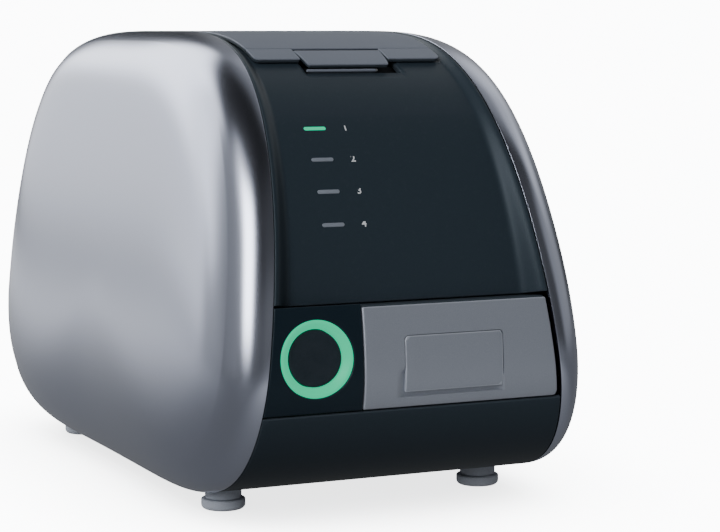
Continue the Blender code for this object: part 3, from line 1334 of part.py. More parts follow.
def fan():
    """Square fan frame with a spider that holds its hub, and the bladed rotor."""
    back = fan_back_y()
    half = FAN_SIDE / 2
    frame = box_piece(
        "fan_frame", (-half, back - FAN_DEPTH, FAN_Z - half), (half, back, FAN_Z + half), "black_plastic"
    )
    bore_radius = half - FAN_BORE_WALL
    bore = rod_mesh("fan_bore", bore_radius, FAN_DEPTH + 2 * OVERRUN, facets=FINE_FACETS)
    cut(frame, place_cutter("fan_bore", bore, (0, back - FAN_DEPTH / 2, FAN_Z), ALONG_Y))
    spider_y = back - FAN_DEPTH + FAN_SPIDER_WALL / 2
    hub = rod_mesh("fan_spider_hub", FAN_HUB_RADIUS, FAN_SPIDER_WALL)
    arms = box_mesh("fan_spider_arm", (2 * bore_radius + OVERRUN, FAN_SPIDER_WALL, FAN_ARM_WIDTH))
    upright = box_mesh("fan_spider_post", (FAN_ARM_WIDTH, FAN_SPIDER_WALL, 2 * bore_radius + OVERRUN))
    join(
        frame,
        place_cutter("fan_spider_arm", arms, (0, spider_y, FAN_Z)),
        place_cutter("fan_spider_post", upright, (0, spider_y, FAN_Z)),
        place_cutter("fan_spider_hub", hub, (0, spider_y, FAN_Z), ALONG_Y),
    )
    socket = rod_mesh("fan_spindle_hole", FAN_SPINDLE_RADIUS + FIT_GAP, FAN_SPIDER_WALL + 2 * OVERRUN, facets=12)
    cut(frame, place_cutter("fan_spindle_hole", socket, (0, spider_y, FAN_Z), ALONG_Y))

    hub_length = FAN_DEPTH - FAN_SPIDER_WALL - 3 * OVERRUN
    centre_y = back - OVERRUN - hub_length / 2
    half_hub = hub_length / 2
    profile = [
        (0, half_hub + FAN_SPIDER_WALL + OVERRUN), (FAN_SPINDLE_RADIUS, half_hub + FAN_SPIDER_WALL + OVERRUN),
        (FAN_SPINDLE_RADIUS, half_hub), (FAN_HUB_RADIUS, half_hub), (FAN_HUB_RADIUS, -half_hub), (0, -half_hub),
    ]
    rotor = turned_piece("fan_rotor", profile, "black_plastic", (0, centre_y, FAN_Z), ALONG_Y)
    work = bmesh.new()
    blade_length = bore_radius - FAN_TIP_GAP - FAN_HUB_RADIUS + OVERRUN
    for number in range(FAN_BLADES):
        matrix = (
            Matrix.Rotation(FULL_TURN * number / FAN_BLADES, 4, "Z")
            @ Matrix.Translation((FAN_HUB_RADIUS - OVERRUN + blade_length / 2, 0, 0))
            @ Matrix.Rotation(FAN_BLADE_PITCH, 4, "X")
            @ Matrix.Diagonal((blade_length, hub_length, FAN_BLADE_WALL, 1))
        )
        bmesh.ops.create_cube(work, size=1, matrix=matrix)
    join(rotor, place_cutter("fan_blades", mesh_from("fan_blades", work), (0, centre_y, FAN_Z), ALONG_Y))


def socket_face_y():
    """Back face of the sockets, flush with the rear panel at the top of the tallest of them."""
    return profile_point(angle_at_height(SOCKET_Z + SWITCH_HEIGHT / 2, back=True))[0] - FIT_GAP


def sockets():
    """Power inlet with its pin, and data port, both open at the back."""
    face = socket_face_y()
    low = (INLET_X - INLET_WIDTH / 2, face - SOCKET_DEPTH, SOCKET_Z - INLET_HEIGHT / 2)
    high = (INLET_X + INLET_WIDTH / 2, face, SOCKET_Z + INLET_HEIGHT / 2)
    inlet = box_piece("power_inlet", low, high, "black_plastic")
    bore = rod_mesh("inlet_bore", INLET_BORE, 2 * SOCKET_CAVITY)
    pin = rod_mesh("inlet_pin", INLET_PIN, SOCKET_CAVITY + OVERRUN, facets=12)
    cut(inlet, place_cutter("inlet_bore", bore, (INLET_X, face, SOCKET_Z), ALONG_Y))
    pin_y = face - SOCKET_CAVITY / 2 - OVERRUN
    join(inlet, place_cutter("inlet_pin", pin, (INLET_X, pin_y, SOCKET_Z), ALONG_Y))

    low = (PORT_X - PORT_WIDTH / 2, face - SOCKET_DEPTH, SOCKET_Z - PORT_HEIGHT / 2)
    high = (PORT_X + PORT_WIDTH / 2, face, SOCKET_Z + PORT_HEIGHT / 2)
    port = box_piece("data_port", low, high, "steel")
    cavity = box_cutter(
        "port_cavity",
        (low[0] + PORT_WALL, face - SOCKET_CAVITY, low[2] + PORT_WALL),
        (high[0] - PORT_WALL, face + OVERRUN, high[2] - PORT_WALL),
    )
    cut(port, cavity)


def power_switch():
    """Rocker switch: an open housing, and a rocker that tips about a pin across its middle."""
    face = socket_face_y()
    low = (SWITCH_X - SWITCH_WIDTH / 2, face - SOCKET_DEPTH, SOCKET_Z - SWITCH_HEIGHT / 2)
    high = (SWITCH_X + SWITCH_WIDTH / 2, face, SOCKET_Z + SWITCH_HEIGHT / 2)
    housing = box_piece("switch_housing", low, high, "black_plastic")
    cavity = box_cutter(
        "switch_cavity",
        (low[0] + SWITCH_WALL, face - SOCKET_CAVITY, low[2] + SWITCH_WALL),
        (high[0] - SWITCH_WALL, face + OVERRUN, high[2] - SWITCH_WALL),
    )
    axis_y = face - ROCKER_DEPTH
    socket = rod_mesh("trunnion_sockets", ROCKER_TRUNNION + FIT_GAP, SWITCH_HEIGHT - SWITCH_WALL, facets=12)
    cut(housing, cavity, place_cutter("trunnion_sockets", socket, (SWITCH_X, axis_y, SOCKET_Z)))

    half = SWITCH_WIDTH / 2 - SWITCH_WALL - RUNNING_GAP
    tilt_cos = math.cos(ROCKER_TILT)
    tilt_sin = math.sin(ROCKER_TILT)
    reach = (half - ROCKER_RISE * tilt_sin) / tilt_cos
    level = [
        (-reach, -ROCKER_TRUNNION), (-reach, ROCKER_RISE), (0, ROCKER_RISE - ROCKER_DISH), (reach, ROCKER_RISE),
        (reach, -ROCKER_TRUNNION),
    ]
    loop = [(across * tilt_cos - up * tilt_sin, across * tilt_sin + up * tilt_cos) for across, up in level]
    width = SWITCH_HEIGHT - 2 * SWITCH_WALL - 2 * RUNNING_GAP
    rocker = outline_piece("switch_rocker", [loop], width, "black_plastic", (SWITCH_X, axis_y, SOCKET_Z), (0, 0, 0))
    trunnion = rod_mesh("rocker_trunnion", ROCKER_TRUNNION, SWITCH_HEIGHT - SWITCH_WALL - 2 * FIT_GAP, facets=12)
    join(rocker, place_cutter("rocker_trunnion", trunnion, (SWITCH_X, axis_y, SOCKET_Z)))


def build():
    side_shell("left_shell", -1)
    side_shell("right_shell", 1)
    upper_front_panel()
    status_lights()
    lower_front_panel()
    front_crossbar()
    button_panel()
    button_light_ring()
    start_button()
    button_board()
    button_spring()
    lid()
    cover_strip("left_cover_strip", -1)
    cover_strip("right_cover_strip", 1)
    slot_flap()
    flap_hinge()
    rear_panel()
    base_plate()
    feet()
    tray()
    tray_shelf()
    chassis()
    rollers()
    belt_drive()
    chute()
    optics()
    main_board()
    power_supply()
    fan()
    sockets()
    power_switch()


build()
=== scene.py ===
"""Looks of the phosphor plate scanner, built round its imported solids.

Lengths are in metres. +Z is up and the front faces -Y. Most outer pieces lie on the body's side profile: x
runs across, and s is the length along the profile from the middle of its underside, up the front and over
the top."""

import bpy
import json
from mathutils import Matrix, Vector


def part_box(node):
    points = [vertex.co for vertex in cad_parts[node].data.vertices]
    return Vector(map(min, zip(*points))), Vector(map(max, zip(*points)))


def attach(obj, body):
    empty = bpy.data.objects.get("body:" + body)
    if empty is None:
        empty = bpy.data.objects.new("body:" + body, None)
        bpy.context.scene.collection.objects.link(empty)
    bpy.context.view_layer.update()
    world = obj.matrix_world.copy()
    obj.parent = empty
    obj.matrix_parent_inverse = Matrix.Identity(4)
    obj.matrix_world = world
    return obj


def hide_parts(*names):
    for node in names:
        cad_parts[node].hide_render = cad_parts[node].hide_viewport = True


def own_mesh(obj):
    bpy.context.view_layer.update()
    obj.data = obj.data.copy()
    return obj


bl_info = {
    "name": "Phosphor plate scanner",
    "version": (1, 0, 0),
    "blender": (4, 5, 0),
    "location": "3D View > Sidebar > Scanner",
    "description": "Builds the outer pieces, finishes and studio of a desktop phosphor plate scanner",
    "category": "Object",
}

import json
import math

import bmesh
import bpy
import numpy as np
from bpy.props import FloatProperty, FloatVectorProperty, PointerProperty
from mathutils import Euler, Matrix, Vector

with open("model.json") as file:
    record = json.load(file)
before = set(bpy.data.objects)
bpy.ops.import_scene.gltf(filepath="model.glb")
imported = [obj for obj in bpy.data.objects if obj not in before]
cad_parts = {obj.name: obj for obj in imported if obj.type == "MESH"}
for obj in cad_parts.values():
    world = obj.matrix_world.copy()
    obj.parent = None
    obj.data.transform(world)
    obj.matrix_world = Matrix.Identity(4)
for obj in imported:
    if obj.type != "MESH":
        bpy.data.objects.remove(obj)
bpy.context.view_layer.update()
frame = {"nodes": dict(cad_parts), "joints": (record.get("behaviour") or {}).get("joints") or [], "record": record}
BODY = "scanner"

# The body's side profile, as in its solids, with the powers of its quarters in the order front top, back
# top, front bottom and back bottom
BODY_HEIGHT = 0.240
BODY_DEPTH = 0.384
CREST_SETBACK = 0.0024
WAIST_HEIGHT = 0.0761
UNDERSIDE_HEIGHT = 0.009
ALONG_POWERS = (3.67, 4.29, 6.32, 5.02)
UP_POWERS = (1.65, 2.76, 2.0, 1.7)

# Side shells, and the seam planes that they meet
SEAM_HALF_WIDTH = 0.0788
SEAM_TAPER_SHARE = 0.1276
SHELL_BULGE = 0.0292
SHELL_CENTRE_HEIGHT = 0.1314
SHELL_POWERS = {"front": 7.5, "back": 11.7, "top": 10.6, "bottom": 3.05}

# Seams between the dark panels
UPPER_PANEL_BOTTOM = 0.1113
BACK_SEAM_Y = 0.150
UNDER_SEAM_Y = 0.134
SEAM_BETWEEN_PANELS = 0.0005

# The upper panel's sunken face: the height where it has faded to its depth at the lid, the length of its
# end behind the lid, the narrow land beside the seams, and its shoulders' width at the tray and at the
# crest
RECESS_FADE_TOP = 0.200
RECESS_END_LENGTH = 0.0035
LAND_WIDTH = 0.0006
SHOULDER_LOW = 0.0105
SHOULDER_HIGH = 0.0050

# The feed slot: its notch in the upper panel, the dish below it, and its front guide from foot to lip
NOTCH_HALF_WIDTH = 0.0264
NOTCH_START = 0.4016
DISH_LENGTH = 0.0062
DISH_SIDE = 0.0014
DISH_DEPTH = 0.0008
DISH_END = 0.0015
GUIDE_Y = (-0.1116, -0.1157)
GUIDE_HEIGHTS = (0.1965, 0.2198)
GUIDE_SHOULDER_HEIGHT = 0.2085
GUIDE_BLADE_TOP = 0.2180
GUIDE_FOOT_HALF_WIDTH = 0.0417
GUIDE_BLADE_HALF_WIDTH = 0.0260
GUIDE_HALF_THICKNESS = 0.0005
LIP_RADIUS = 0.0008
LIP_RIGHT = 0.0118

# Lid, its strips and the flap
LID_HALF_WIDTH = 0.052
LID_OPENING_HALF = 0.0505
LID_FRONT_Y = -0.0976
LID_BACK_Y = 0.130
# The grey skin and the dark layer under it; the dark layer is painted shade on the lid's front faces and walls
LID_SKIN = 0.0007
LID_SHADE_LAYER = 0.0013
LID_LEDGE = 0.0015
STRIP_FRONT_Y = -0.1106
STRIP_LEDGE = 0.008
HINGE_Y = -0.1004
FLAP_FRONT_Y = -0.1161
FLAP_HALF_WIDTH = 0.024
FLAP_X = -0.0026
FLAP_TAPER = 0.0015
FLAP_GAP = 0.0005

# Button, its panel and its ring light
BUTTON_PANEL_TOP = 0.1102
BUTTON_X = -0.0532
BUTTON_Z = 0.0849
RING_RADIUS = 0.01885
SPRING_WIRE = 0.00035
SPRING_TURNS = 3

# Tray and its pull
TRAY_LEFT = -0.0285
TRAY_BOTTOM = 0.0585
TRAY_TOP = 0.1085
TRAY_SIDE_GAP = 0.002
PULL_LEFT = -0.0068
PULL_RIGHT = 0.0466
PULL_BOTTOM = 0.0660
PULL_TOP = 0.0935
PULL_GAP = 0.0003
POCKET_BOTTOM = 0.0636
POCKET_DEPTH = 0.0017
POCKET_CORNER = 0.0023

# Status lights, their numbers, the vents and the feet
LIGHT_X = -0.0356
LIGHT_HEIGHTS = (0.1932, 0.1785, 0.1633, 0.1475)
LIGHT_LIFT = 0.0019
LIGHT_RADIUS = 0.0011
LIGHT_HALF_LENGTH = 0.0048
NUMBER_LEFT = -0.0205
VENT_COUNT = 8
VENT_MIDDLE = 0.127
VENT_PITCH = 0.0060
VENT_HALF_WIDTH = 0.023
VENT_HALF_HEIGHT = 0.0014
SOCKET_GAP = 0.0003
FOOT_X = 0.0725
FOOT_Y = 0.1156

# Meshes: where a rounded edge has its grid lines, as shares of its radius, the least wall, the distance at
# which points are merged, the angle in degrees from which an edge is sharp, and an inner layer's step back
# from its skin
EDGE_LINE_SHARES = np.array([0, 0.08, 0.25, 0.5, 0.75, 1.0])
LEAST_WALL = 0.0002
MERGE_DISTANCE = 0.0000004
SHARP_ANGLE = 35
LAYER_STEP = 0.0002
MM_PER_METRE = 1000

# Finishes: dust, edge wear and a painted edge highlight as a lift and a gain on the colour, the mirror tint
# of what isn't metal, the coat, and how high the grain stands
DUST_COLOUR = (0.38, 0.39, 0.41)
WORN_AND_HIGHLIGHT_LIFT = 0.12
WORN_AND_HIGHLIGHT_GAIN = 2.2
COOL_TINT = (0.8, 0.9, 1.0, 1)
COAT_ROUGHNESS = 0.1
GRAIN_HEIGHT = 0.0001

# Studio light: how pale the camera sees it, its tint, and the softboxes (turn from +Y towards -X and rise in
# degrees, half width and half height as tangents, soft border, strength) and floor pools (middle, near, far,
# strength) in it, each over its own base
PALE = 12.0
ROOM_TINT = (0.97, 0.985, 1.0, 1)
ROOM_BASE = 0.02
SOFTBOXES = (
    (31, 33, 0.58, 0.42, 0.18, 2.3),
    (20, 33, 0.34, 0.38, 0.28, 1.5),
    (24, 4, 0.46, 0.13, 0.16, 1.50),
    (60, 12, 0.22, 0.36, 0.26, 0.50),
    (127, 28, 0.18, 0.31, 0.18, 10.0),
    (92, 22, 0.30, 0.50, 0.30, 0.30),
    (110, 45, 0.12, 0.20, 0.20, 1.2),
    (-66, 33, 0.42, 0.25, 0.34, 0.75),
    (-40, 30, 0.36, 0.52, 0.16, 0.28),
    (-68, 60, 0.45, 0.25, 0.45, 0.36),
    (-92, 12, 0.45, 0.30, 0.30, 0.40),
    (-150, 25, 0.60, 0.45, 0.50, 0.07),
    (180, 12, 0.60, 0.20, 0.30, 0.13),
)
FLOOR_BASE = 0.13
FLOOR_REACH = 8.0
POOLS = (
    ((-0.85, 1.7), 0.2, 2.0, 1.0),
    ((0.06, -0.52), 0.05, 0.42, 0.45),
    ((1.2, -2.4), 0.3, 2.0, 0.25),
)
FILL_PLACE = (-0.55, -1.35, 1.15)
FILL_AIM = (0, 0, 0.12)
FILL_SIZE = 1.4
FILL_POWER = 11.0

# Camera, with its dip and its turn in degrees
CAMERA_PLACE = (-0.46984, -1.14724, 0.24295)
CAMERA_DIP = 6.197
CAMERA_TURN = -24.655
CAMERA_LENS = 110.84
CAMERA_SENSOR = 36.0


# Sizes and colours that a user would change


class ScannerSizes(bpy.types.PropertyGroup):
    """Sizes of the outer pieces' edges, seams and walls."""

    seam_gap: FloatProperty(
        name="Seam gap", description="Gap between a side shell and the panels", default=0.0005, unit="LENGTH",
    )
    panel_wall: FloatProperty(
        name="Panel wall", description="Thickness of the dark panels", default=0.0025, unit="LENGTH",
    )
    panel_edge: FloatProperty(
        name="Panel edge", description="Rounding of the panels' edges", default=0.0006, unit="LENGTH",
    )
    shell_wall: FloatProperty(
        name="Shell wall", description="Thickness of the side shells", default=0.003, unit="LENGTH",
    )
    shell_edge: FloatProperty(
        name="Shell edge", description="Rounding of the side shells' rims", default=0.0002, unit="LENGTH",
    )
    recess_low: FloatProperty(
        name="Recess at the tray", description="Depth of the sunken front panel above the tray",
        default=0.009, unit="LENGTH",
    )
    recess_high: FloatProperty(
        name="Recess at the lid", description="Depth of the sunken panel round the lid", default=0.003,
        unit="LENGTH",
    )
    number_height: FloatProperty(
        name="Number height", description="Height of the numbers beside the status lights", default=0.0036,
        unit="LENGTH",
    )


class ScannerColours(bpy.types.PropertyGroup):
    """Colours of the scanner's finishes."""

    silver: FloatVectorProperty(
        name="Silver paint", description="Side shells", default=(0.485, 0.512, 0.615),
        subtype="COLOR", min=0, max=1,
    )
    slate: FloatVectorProperty(
        name="Dark slate", description="Front, back and bottom panels", default=(0.017, 0.0255, 0.034),
        subtype="COLOR", min=0, max=1,
    )
    lid: FloatVectorProperty(
        name="Lid grey", description="Lid, its strips and the flap", default=(0.117, 0.131, 0.163),
        subtype="COLOR", min=0, max=1,
    )
    tray: FloatVectorProperty(
        name="Tray paint", description="Tray front and its pull", default=(0.245, 0.265, 0.31),
        subtype="COLOR", min=0, max=1,
    )
    glow: FloatVectorProperty(
        name="Glow", description="Ring light and the lit status light", default=(0.0, 0.56, 0.27),
        subtype="COLOR", min=0, max=1,
    )
    unlit: FloatVectorProperty(
        name="Unlit light", description="Status lights that are off", default=(0.10, 0.115, 0.14),
        subtype="COLOR", min=0, max=1,
    )
    rubber: FloatVectorProperty(
        name="Rubber", description="Feet", default=(0.46, 0.49, 0.56), subtype="COLOR", min=0, max=1,
    )


def sizes():
    """The sizes that the panel shows."""
    return bpy.context.scene.scanner_sizes


def typed(size):
    """A size as it was typed: Blender keeps it in single precision, so it is rounded to a tenth of a micron."""
    return round(size, 7)


def colours():
    """The colours that the panel shows."""
    return bpy.context.scene.scanner_colours


# The side profile as tables over its length


def by_quarter(front, above, values):
    """Each quarter's own value, from four in the order front top, back top, front bottom and back bottom."""
    return np.where(above, np.where(front, *values[:2]), np.where(front, *values[2:]))


def profile_at(angle):
    """The (y, z) of the side profile, four superellipse quarters. At angle t, from 0 at the front over a
    quarter turn at the top, y is the reach times |cos t| to 2/n from the crest, and z is the rise times
    |sin t| to 2/m from the waist; n, m, reach and rise differ from quarter to quarter."""
    front = np.cos(angle) > 0
    above = np.sin(angle) >= 0
    along = by_quarter(front, above, ALONG_POWERS)
    up = by_quarter(front, above, UP_POWERS)
    reach = BODY_DEPTH / 2 + np.where(front, CREST_SETBACK, -CREST_SETBACK)
    rise = np.where(above, BODY_HEIGHT - WAIST_HEIGHT, WAIST_HEIGHT - UNDERSIDE_HEIGHT)
    y = CREST_SETBACK + np.where(front, -1, 1) * reach * np.abs(np.cos(angle)) ** (2 / along)
    z = WAIST_HEIGHT + np.where(above, 1, -1) * rise * np.abs(np.sin(angle)) ** (2 / up)
    return y, z


def quarter_angles(first, count, steps=3000):
    """Angles of whole quarters from a first one, packed close together where two quarters meet: the share q
    of a quarter is q^3 / (q^3 + (1 - q)^3)."""
    share = np.linspace(0, 1, steps)[:-1]
    eased = share ** 3 / (share ** 3 + (1 - share) ** 3)
    starts = (first + np.arange(count)) * np.pi / 2
    return np.append((starts[:, None] + eased * np.pi / 2).ravel(), (first + count) * np.pi / 2)


ANGLES = quarter_angles(-2, 6)
PROFILE_Y, PROFILE_Z = profile_at(ANGLES)
LENGTHS = np.append(0, np.cumsum(np.hypot(np.diff(PROFILE_Y), np.diff(PROFILE_Z))))
LENGTHS -= np.interp(-np.pi / 2, ANGLES, LENGTHS)
NORMAL_Y = -np.gradient(PROFILE_Z, LENGTHS)
NORMAL_Z = np.gradient(PROFILE_Y, LENGTHS)
NORMAL_SIZE = np.hypot(NORMAL_Y, NORMAL_Z)
NORMAL_Y /= NORMAL_SIZE
NORMAL_Z /= NORMAL_SIZE


def length_at(values, target, low, high):
    """The length along the profile where a coordinate has a value, between two angles."""
    window = (ANGLES >= low) & (ANGLES <= high)
    order = np.argsort(values[window])
    return float(np.interp(target, values[window][order], LENGTHS[window][order]))


def s_front(height):
    """Length to a height on the front."""
    return length_at(PROFILE_Z, height, -np.pi / 2, np.pi / 2)


def s_back(height):
    """Length to a height on the back."""
    return length_at(PROFILE_Z, height, np.pi / 2, 3 * np.pi / 2)


def s_top(y):
    """Length to a y on the upper side."""
    return length_at(PROFILE_Y, y, 0, np.pi)


def s_under(y):
    """Length to a y on the underside, below zero behind its middle."""
    if y > CREST_SETBACK:
        return length_at(PROFILE_Y, y, -np.pi, -np.pi / 2)
    return length_at(PROFILE_Y, y, -np.pi / 2, 0)


def height_at(s):
    """Height of the side profile at s."""
    return np.interp(s, LENGTHS, PROFILE_Z)


def on_body(x, s, depth):
    """Points on the side profile: x across, s along it, and depth inwards along its normal."""
    y = np.interp(s, LENGTHS, PROFILE_Y) - depth * np.interp(s, LENGTHS, NORMAL_Y)
    z = height_at(s) - depth * np.interp(s, LENGTHS, NORMAL_Z)
    return np.stack(np.broadcast_arrays(x, y, z), axis=-1)


def body_turn(s):
    """Turn about X that lays a flat thing in XY onto the body at s."""
    return math.atan2(-float(np.interp(s, LENGTHS, NORMAL_Y)), float(np.interp(s, LENGTHS, NORMAL_Z)))


def seam_at(s):
    """Half the width between the seam planes at s."""
    return SEAM_HALF_WIDTH - SEAM_TAPER_SHARE * (height_at(s) - WAIST_HEIGHT)


def panel_side(s):
    """Half a panel's width at s: up to the seam, less the gap there."""
    return seam_at(s) - sizes().seam_gap


def between_seams(s, *inner):
    """The x of a panel's two sides at s, with any other x between them."""
    return -panel_side(s), *inner, panel_side(s)


def smooth(value):
    """0 up to 0, 1 from 1 on, and 3t^2 - 2t^3 between them."""
    share = np.clip(value, 0, 1)
    return share * share * (3 - 2 * share)


def edge_drop(distance, radius):
    """How far a rounded edge has fallen at a distance from it: r - sqrt(r^2 - (r - d)^2)."""
    inside = np.clip(radius - distance, 0, radius)
    return radius - np.sqrt(radius ** 2 - inside ** 2)


def spaced(stops, step, edge):
    """Grid lines through all stops, packed close beside each of them for a rounded edge."""
    near = edge * EDGE_LINE_SHARES
    lines = [np.array(stops)]
    for low, high in zip(stops, stops[1:]):
        close = near[near < 0.45 * (high - low)]
        count = max(2, int(np.ceil((high - low - 2 * close[-1]) / step)) + 1)
        lines += [low + close, high - close, np.linspace(low + close[-1], high - close[-1], count)]
    return np.unique(np.round(np.concatenate(lines), 7))


# Meshes from arrays of points


def hand_over(name, mesh, body, replaces=()):
    """Puts a finished mesh into the scene under its body's empty, and hides the nodes it stands
    for."""
    piece = bpy.data.objects.new(name, mesh)
    bpy.context.scene.collection.objects.link(piece)
    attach(piece, body)
    if replaces:
        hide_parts(*replaces)
    return piece


def put_piece(name, points, faces, material, body, replaces=(), edge=None):
    """Makes a piece from its points and faces, in place, and hands it over. Edge is each point's distance in
    millimetres from the piece's own edge, where its finish wears and a painted highlight lightens it."""
    mesh = bpy.data.meshes.new(name)
    mesh.from_pydata(points.reshape(-1, 3).tolist(), [], faces.tolist())
    if edge is not None:
        values = edge.ravel().astype(np.float32)
        mesh.attributes.new("edge", "FLOAT", "POINT").data.foreach_set("value", values)
    work = bmesh.new()
    work.from_mesh(mesh)
    bmesh.ops.remove_doubles(work, verts=work.verts, dist=MERGE_DISTANCE)
    bmesh.ops.delete(work, geom=[corner for corner in work.verts if not corner.link_faces], context="VERTS")
    work.to_mesh(mesh)
    work.free()
    mesh.shade_smooth()
    mesh.set_sharp_from_angle(angle=math.radians(SHARP_ANGLE))
    mesh.materials.append(material)
    return hand_over(name, mesh, body, replaces)


def grid_faces(rows, columns):
    """The faces of a grid of points, row by row."""
    index = np.arange(rows * columns).reshape(rows, columns)
    return np.stack((index[:-1, :-1], index[:-1, 1:], index[1:, 1:], index[1:, :-1]), axis=-1).reshape(-1, 4)


def loop_faces(rows, columns):
    """The faces of a grid whose last row joins its first, as on a ring."""
    index = np.arange(rows * columns).reshape(rows, columns)
    below = np.roll(index, -1, axis=0)
    return np.stack((index[:, :-1], index[:, 1:], below[:, 1:], below[:, :-1]), axis=-1).reshape(-1, 4)


def sheet_faces(rows, columns, holes):
    """The faces of a closed sheet: an outer grid of points, an inner one, and a wall round every border.
    Cells in holes stay open."""
    index = np.arange(rows * columns).reshape(rows, columns)
    below = rows * columns
    kept = ~holes
    cells = grid_faces(rows, columns).reshape(rows - 1, columns - 1, 4)[kept]
    padded = np.pad(kept, 1)
    walls = []
    for first, second, inner, outer in (
        (index[:, :-1], index[:, 1:], padded[1:, 1:-1], padded[:-1, 1:-1]),
        (index[1:, :], index[:-1, :], padded[1:-1, 1:], padded[1:-1, :-1]),
    ):
        starts = inner & ~outer
        ends = outer & ~inner
        for a, b in ((second[starts], first[starts]), (first[ends], second[ends])):
            walls.append(np.stack((a, b, b + below, a + below), axis=-1))
    return np.concatenate([cells, cells[:, ::-1] + below, *walls])


def corner_shift(x, centre, left, reaches, corners):
    """How far rounded corners draw a sheet's points inwards. At a reach d from the sheet's end, a corner of
    radius r moves the side in by r - sqrt(r^2 - (r - d)^2), and points nearer the middle by a smaller share
    of that."""
    shift = np.zeros_like(x)
    for radius, reach, side in zip(corners, reaches, (1, -1, 1, -1)):
        if radius:
            share = np.clip(side * (centre - x) / np.maximum(centre - left, 1e-6), 0, 1)
            shift += edge_drop(reach, radius) * share * side
    return shift


def border_distance(nears, reaches, corners):
    """Distance from a sheet's border: the least way to its sides and ends, and within a rounded corner its
    radius less the distance from its centre."""
    distance = np.minimum(np.minimum(*nears[:2]), np.minimum(*reaches[1:3]))
    for radius, reach, near in zip(corners, reaches, nears):
        if radius:
            inside = (near < radius) & (reach < radius)
            distance = np.where(inside, radius - np.hypot(radius - near, radius - reach), distance)
    return np.maximum(distance, 0)


def plate(name, breaks, actual, start, end, material, body=BODY, step=0.003, edge=None, wall=None,
          corners=(0, 0, 0, 0), relief=None, x_stops=(), s_stops=(), holes=(), hole_edge=None, replaces=()):
    """A sheet with rounded edges that lies on the side profile. Its x runs through breaks, which stand at
    actual(s) on the row at s. Corners are the radii at the low left, low right, high left and high right.
    Relief gives an extra depth from (x, s), and each hole is a rectangle (x0, x1, s0, s1)."""
    edge = typed(sizes().panel_edge) if edge is None else edge
    wall = typed(sizes().panel_wall) if wall is None else wall
    hole_edge = edge if hole_edge is None else hole_edge
    breaks = np.array(breaks, float)
    across = spaced(sorted({*breaks, *x_stops, *(x for hole in holes for x in hole[:2])}), step, edge)
    along = spaced(sorted({start, end, *s_stops, *(s for hole in holes for s in hole[2:])}), step, edge)
    sides = np.stack([np.broadcast_to(side, along.shape) for side in actual(along)], axis=-1)
    part = np.clip(np.searchsorted(breaks, across, side="right") - 1, 0, len(breaks) - 2)
    share = (across - breaks[part]) / (breaks[part + 1] - breaks[part])
    x = sides[:, part] * (1 - share) + sides[:, part + 1] * share
    s = np.broadcast_to(along[:, None], x.shape)
    left, right = sides[:, :1], sides[:, -1:]
    reaches = (s - start, s - start, end - s, end - s)
    x = x + corner_shift(x, (left + right) / 2, left, reaches, corners)
    distance = border_distance((x - left, right - x, x - left, right - x), reaches, corners)
    drop = edge_drop(distance, edge)

    open_cells = np.zeros((len(along) - 1, len(across) - 1), bool)
    middle_x = (across[:-1] + across[1:])[None, :] / 2
    middle_s = (along[:-1] + along[1:])[:, None] / 2
    for x0, x1, s0, s1 in holes:
        aside = np.maximum(np.maximum(x0 - x, x - x1), 0)
        beyond = np.maximum(np.maximum(s0 - s, s - s1), 0)
        away = np.hypot(aside, beyond)
        drop = np.maximum(drop, edge_drop(away, hole_edge))
        distance = np.minimum(distance, away)
        open_cells |= (middle_s > s0) & (middle_s < s1) & (middle_x > x0) & (middle_x < x1)

    sunk = relief(x, s) if relief else 0
    outer = on_body(x, s, drop + sunk)
    inner = on_body(x, s, np.maximum(wall, drop + LEAST_WALL) + sunk)
    faces = sheet_faces(len(along), len(across), open_cells)
    edges = np.stack((distance, distance)) * MM_PER_METRE
    put_piece(name, np.stack((outer, inner)), faces, material, body, replaces, edges)


def turned(name, profile, centre, axis, material, body, segments, replaces=()):
    """A closed turned shape: (radius, height) pairs from the axis round its outline and back to the axis,
    carried round the axis: the point is centre + r cos(t) u + r sin(t) v + h axis."""
    radius, height = np.array(profile, float).T
    way = Vector(axis).normalized()
    one = np.array(way.orthogonal().normalized())
    way = np.array(way)
    other = np.cross(way, one)
    turn = np.linspace(0, 2 * np.pi, segments, endpoint=False)[:, None, None]
    spokes = np.cos(turn) * one + np.sin(turn) * other
    points = np.array(centre) + radius[None, :, None] * spokes + height[None, :, None] * way
    put_piece(name, points, loop_faces(segments, len(radius)), material, body, replaces)


def rounded_profile(outline, steps=5):
    """A turned outline whose corners (radius, height, rounding) are cut by arcs of a circle's quarter, each
    point at p - r (1 - cos a) towards one neighbour and p - r (1 - sin a) towards the other."""
    points = []
    count = len(outline)
    for number, (radius, height, bend) in enumerate(outline):
        here = np.array((radius, height))
        if not bend:
            points.append(here)
            continue
        before = np.array(outline[number - 1][:2]) - here
        after = np.array(outline[(number + 1) % count][:2]) - here
        before /= np.hypot(*before)
        after /= np.hypot(*after)
        for angle in np.linspace(0, np.pi / 2, steps):
            points.append(here + bend * ((1 - np.sin(angle)) * before + (1 - np.cos(angle)) * after))
    return points


def swept(name, path, up, section, material, body, replaces=()):
    """A bar along a path: at each point, the section's pairs (a, b) stand at a times the side way plus b
    times up, where the side way is the path's direction crossed with up. Both ends are closed to their
    middle."""
    way = np.gradient(path, axis=0)
    way /= np.linalg.norm(way, axis=1, keepdims=True)
    side = np.cross(way, np.array(up, float))
    side /= np.linalg.norm(side, axis=1, keepdims=True)
    lift = np.cross(side, way)
    section = np.array(section, float)
    rings = path[:, None] + section[None, :, :1] * side[:, None] + section[None, :, 1:] * lift[:, None]
    first, last = (
        np.repeat(ring.mean(axis=1, keepdims=True), len(section), axis=1) for ring in (rings[:1], rings[-1:])
    )
    rings = np.concatenate([first, rings, last])
    rings = np.concatenate([rings, rings[:, :1]], axis=1)
    return put_piece(name, rings, grid_faces(*rings.shape[:2]), material, body, replaces)


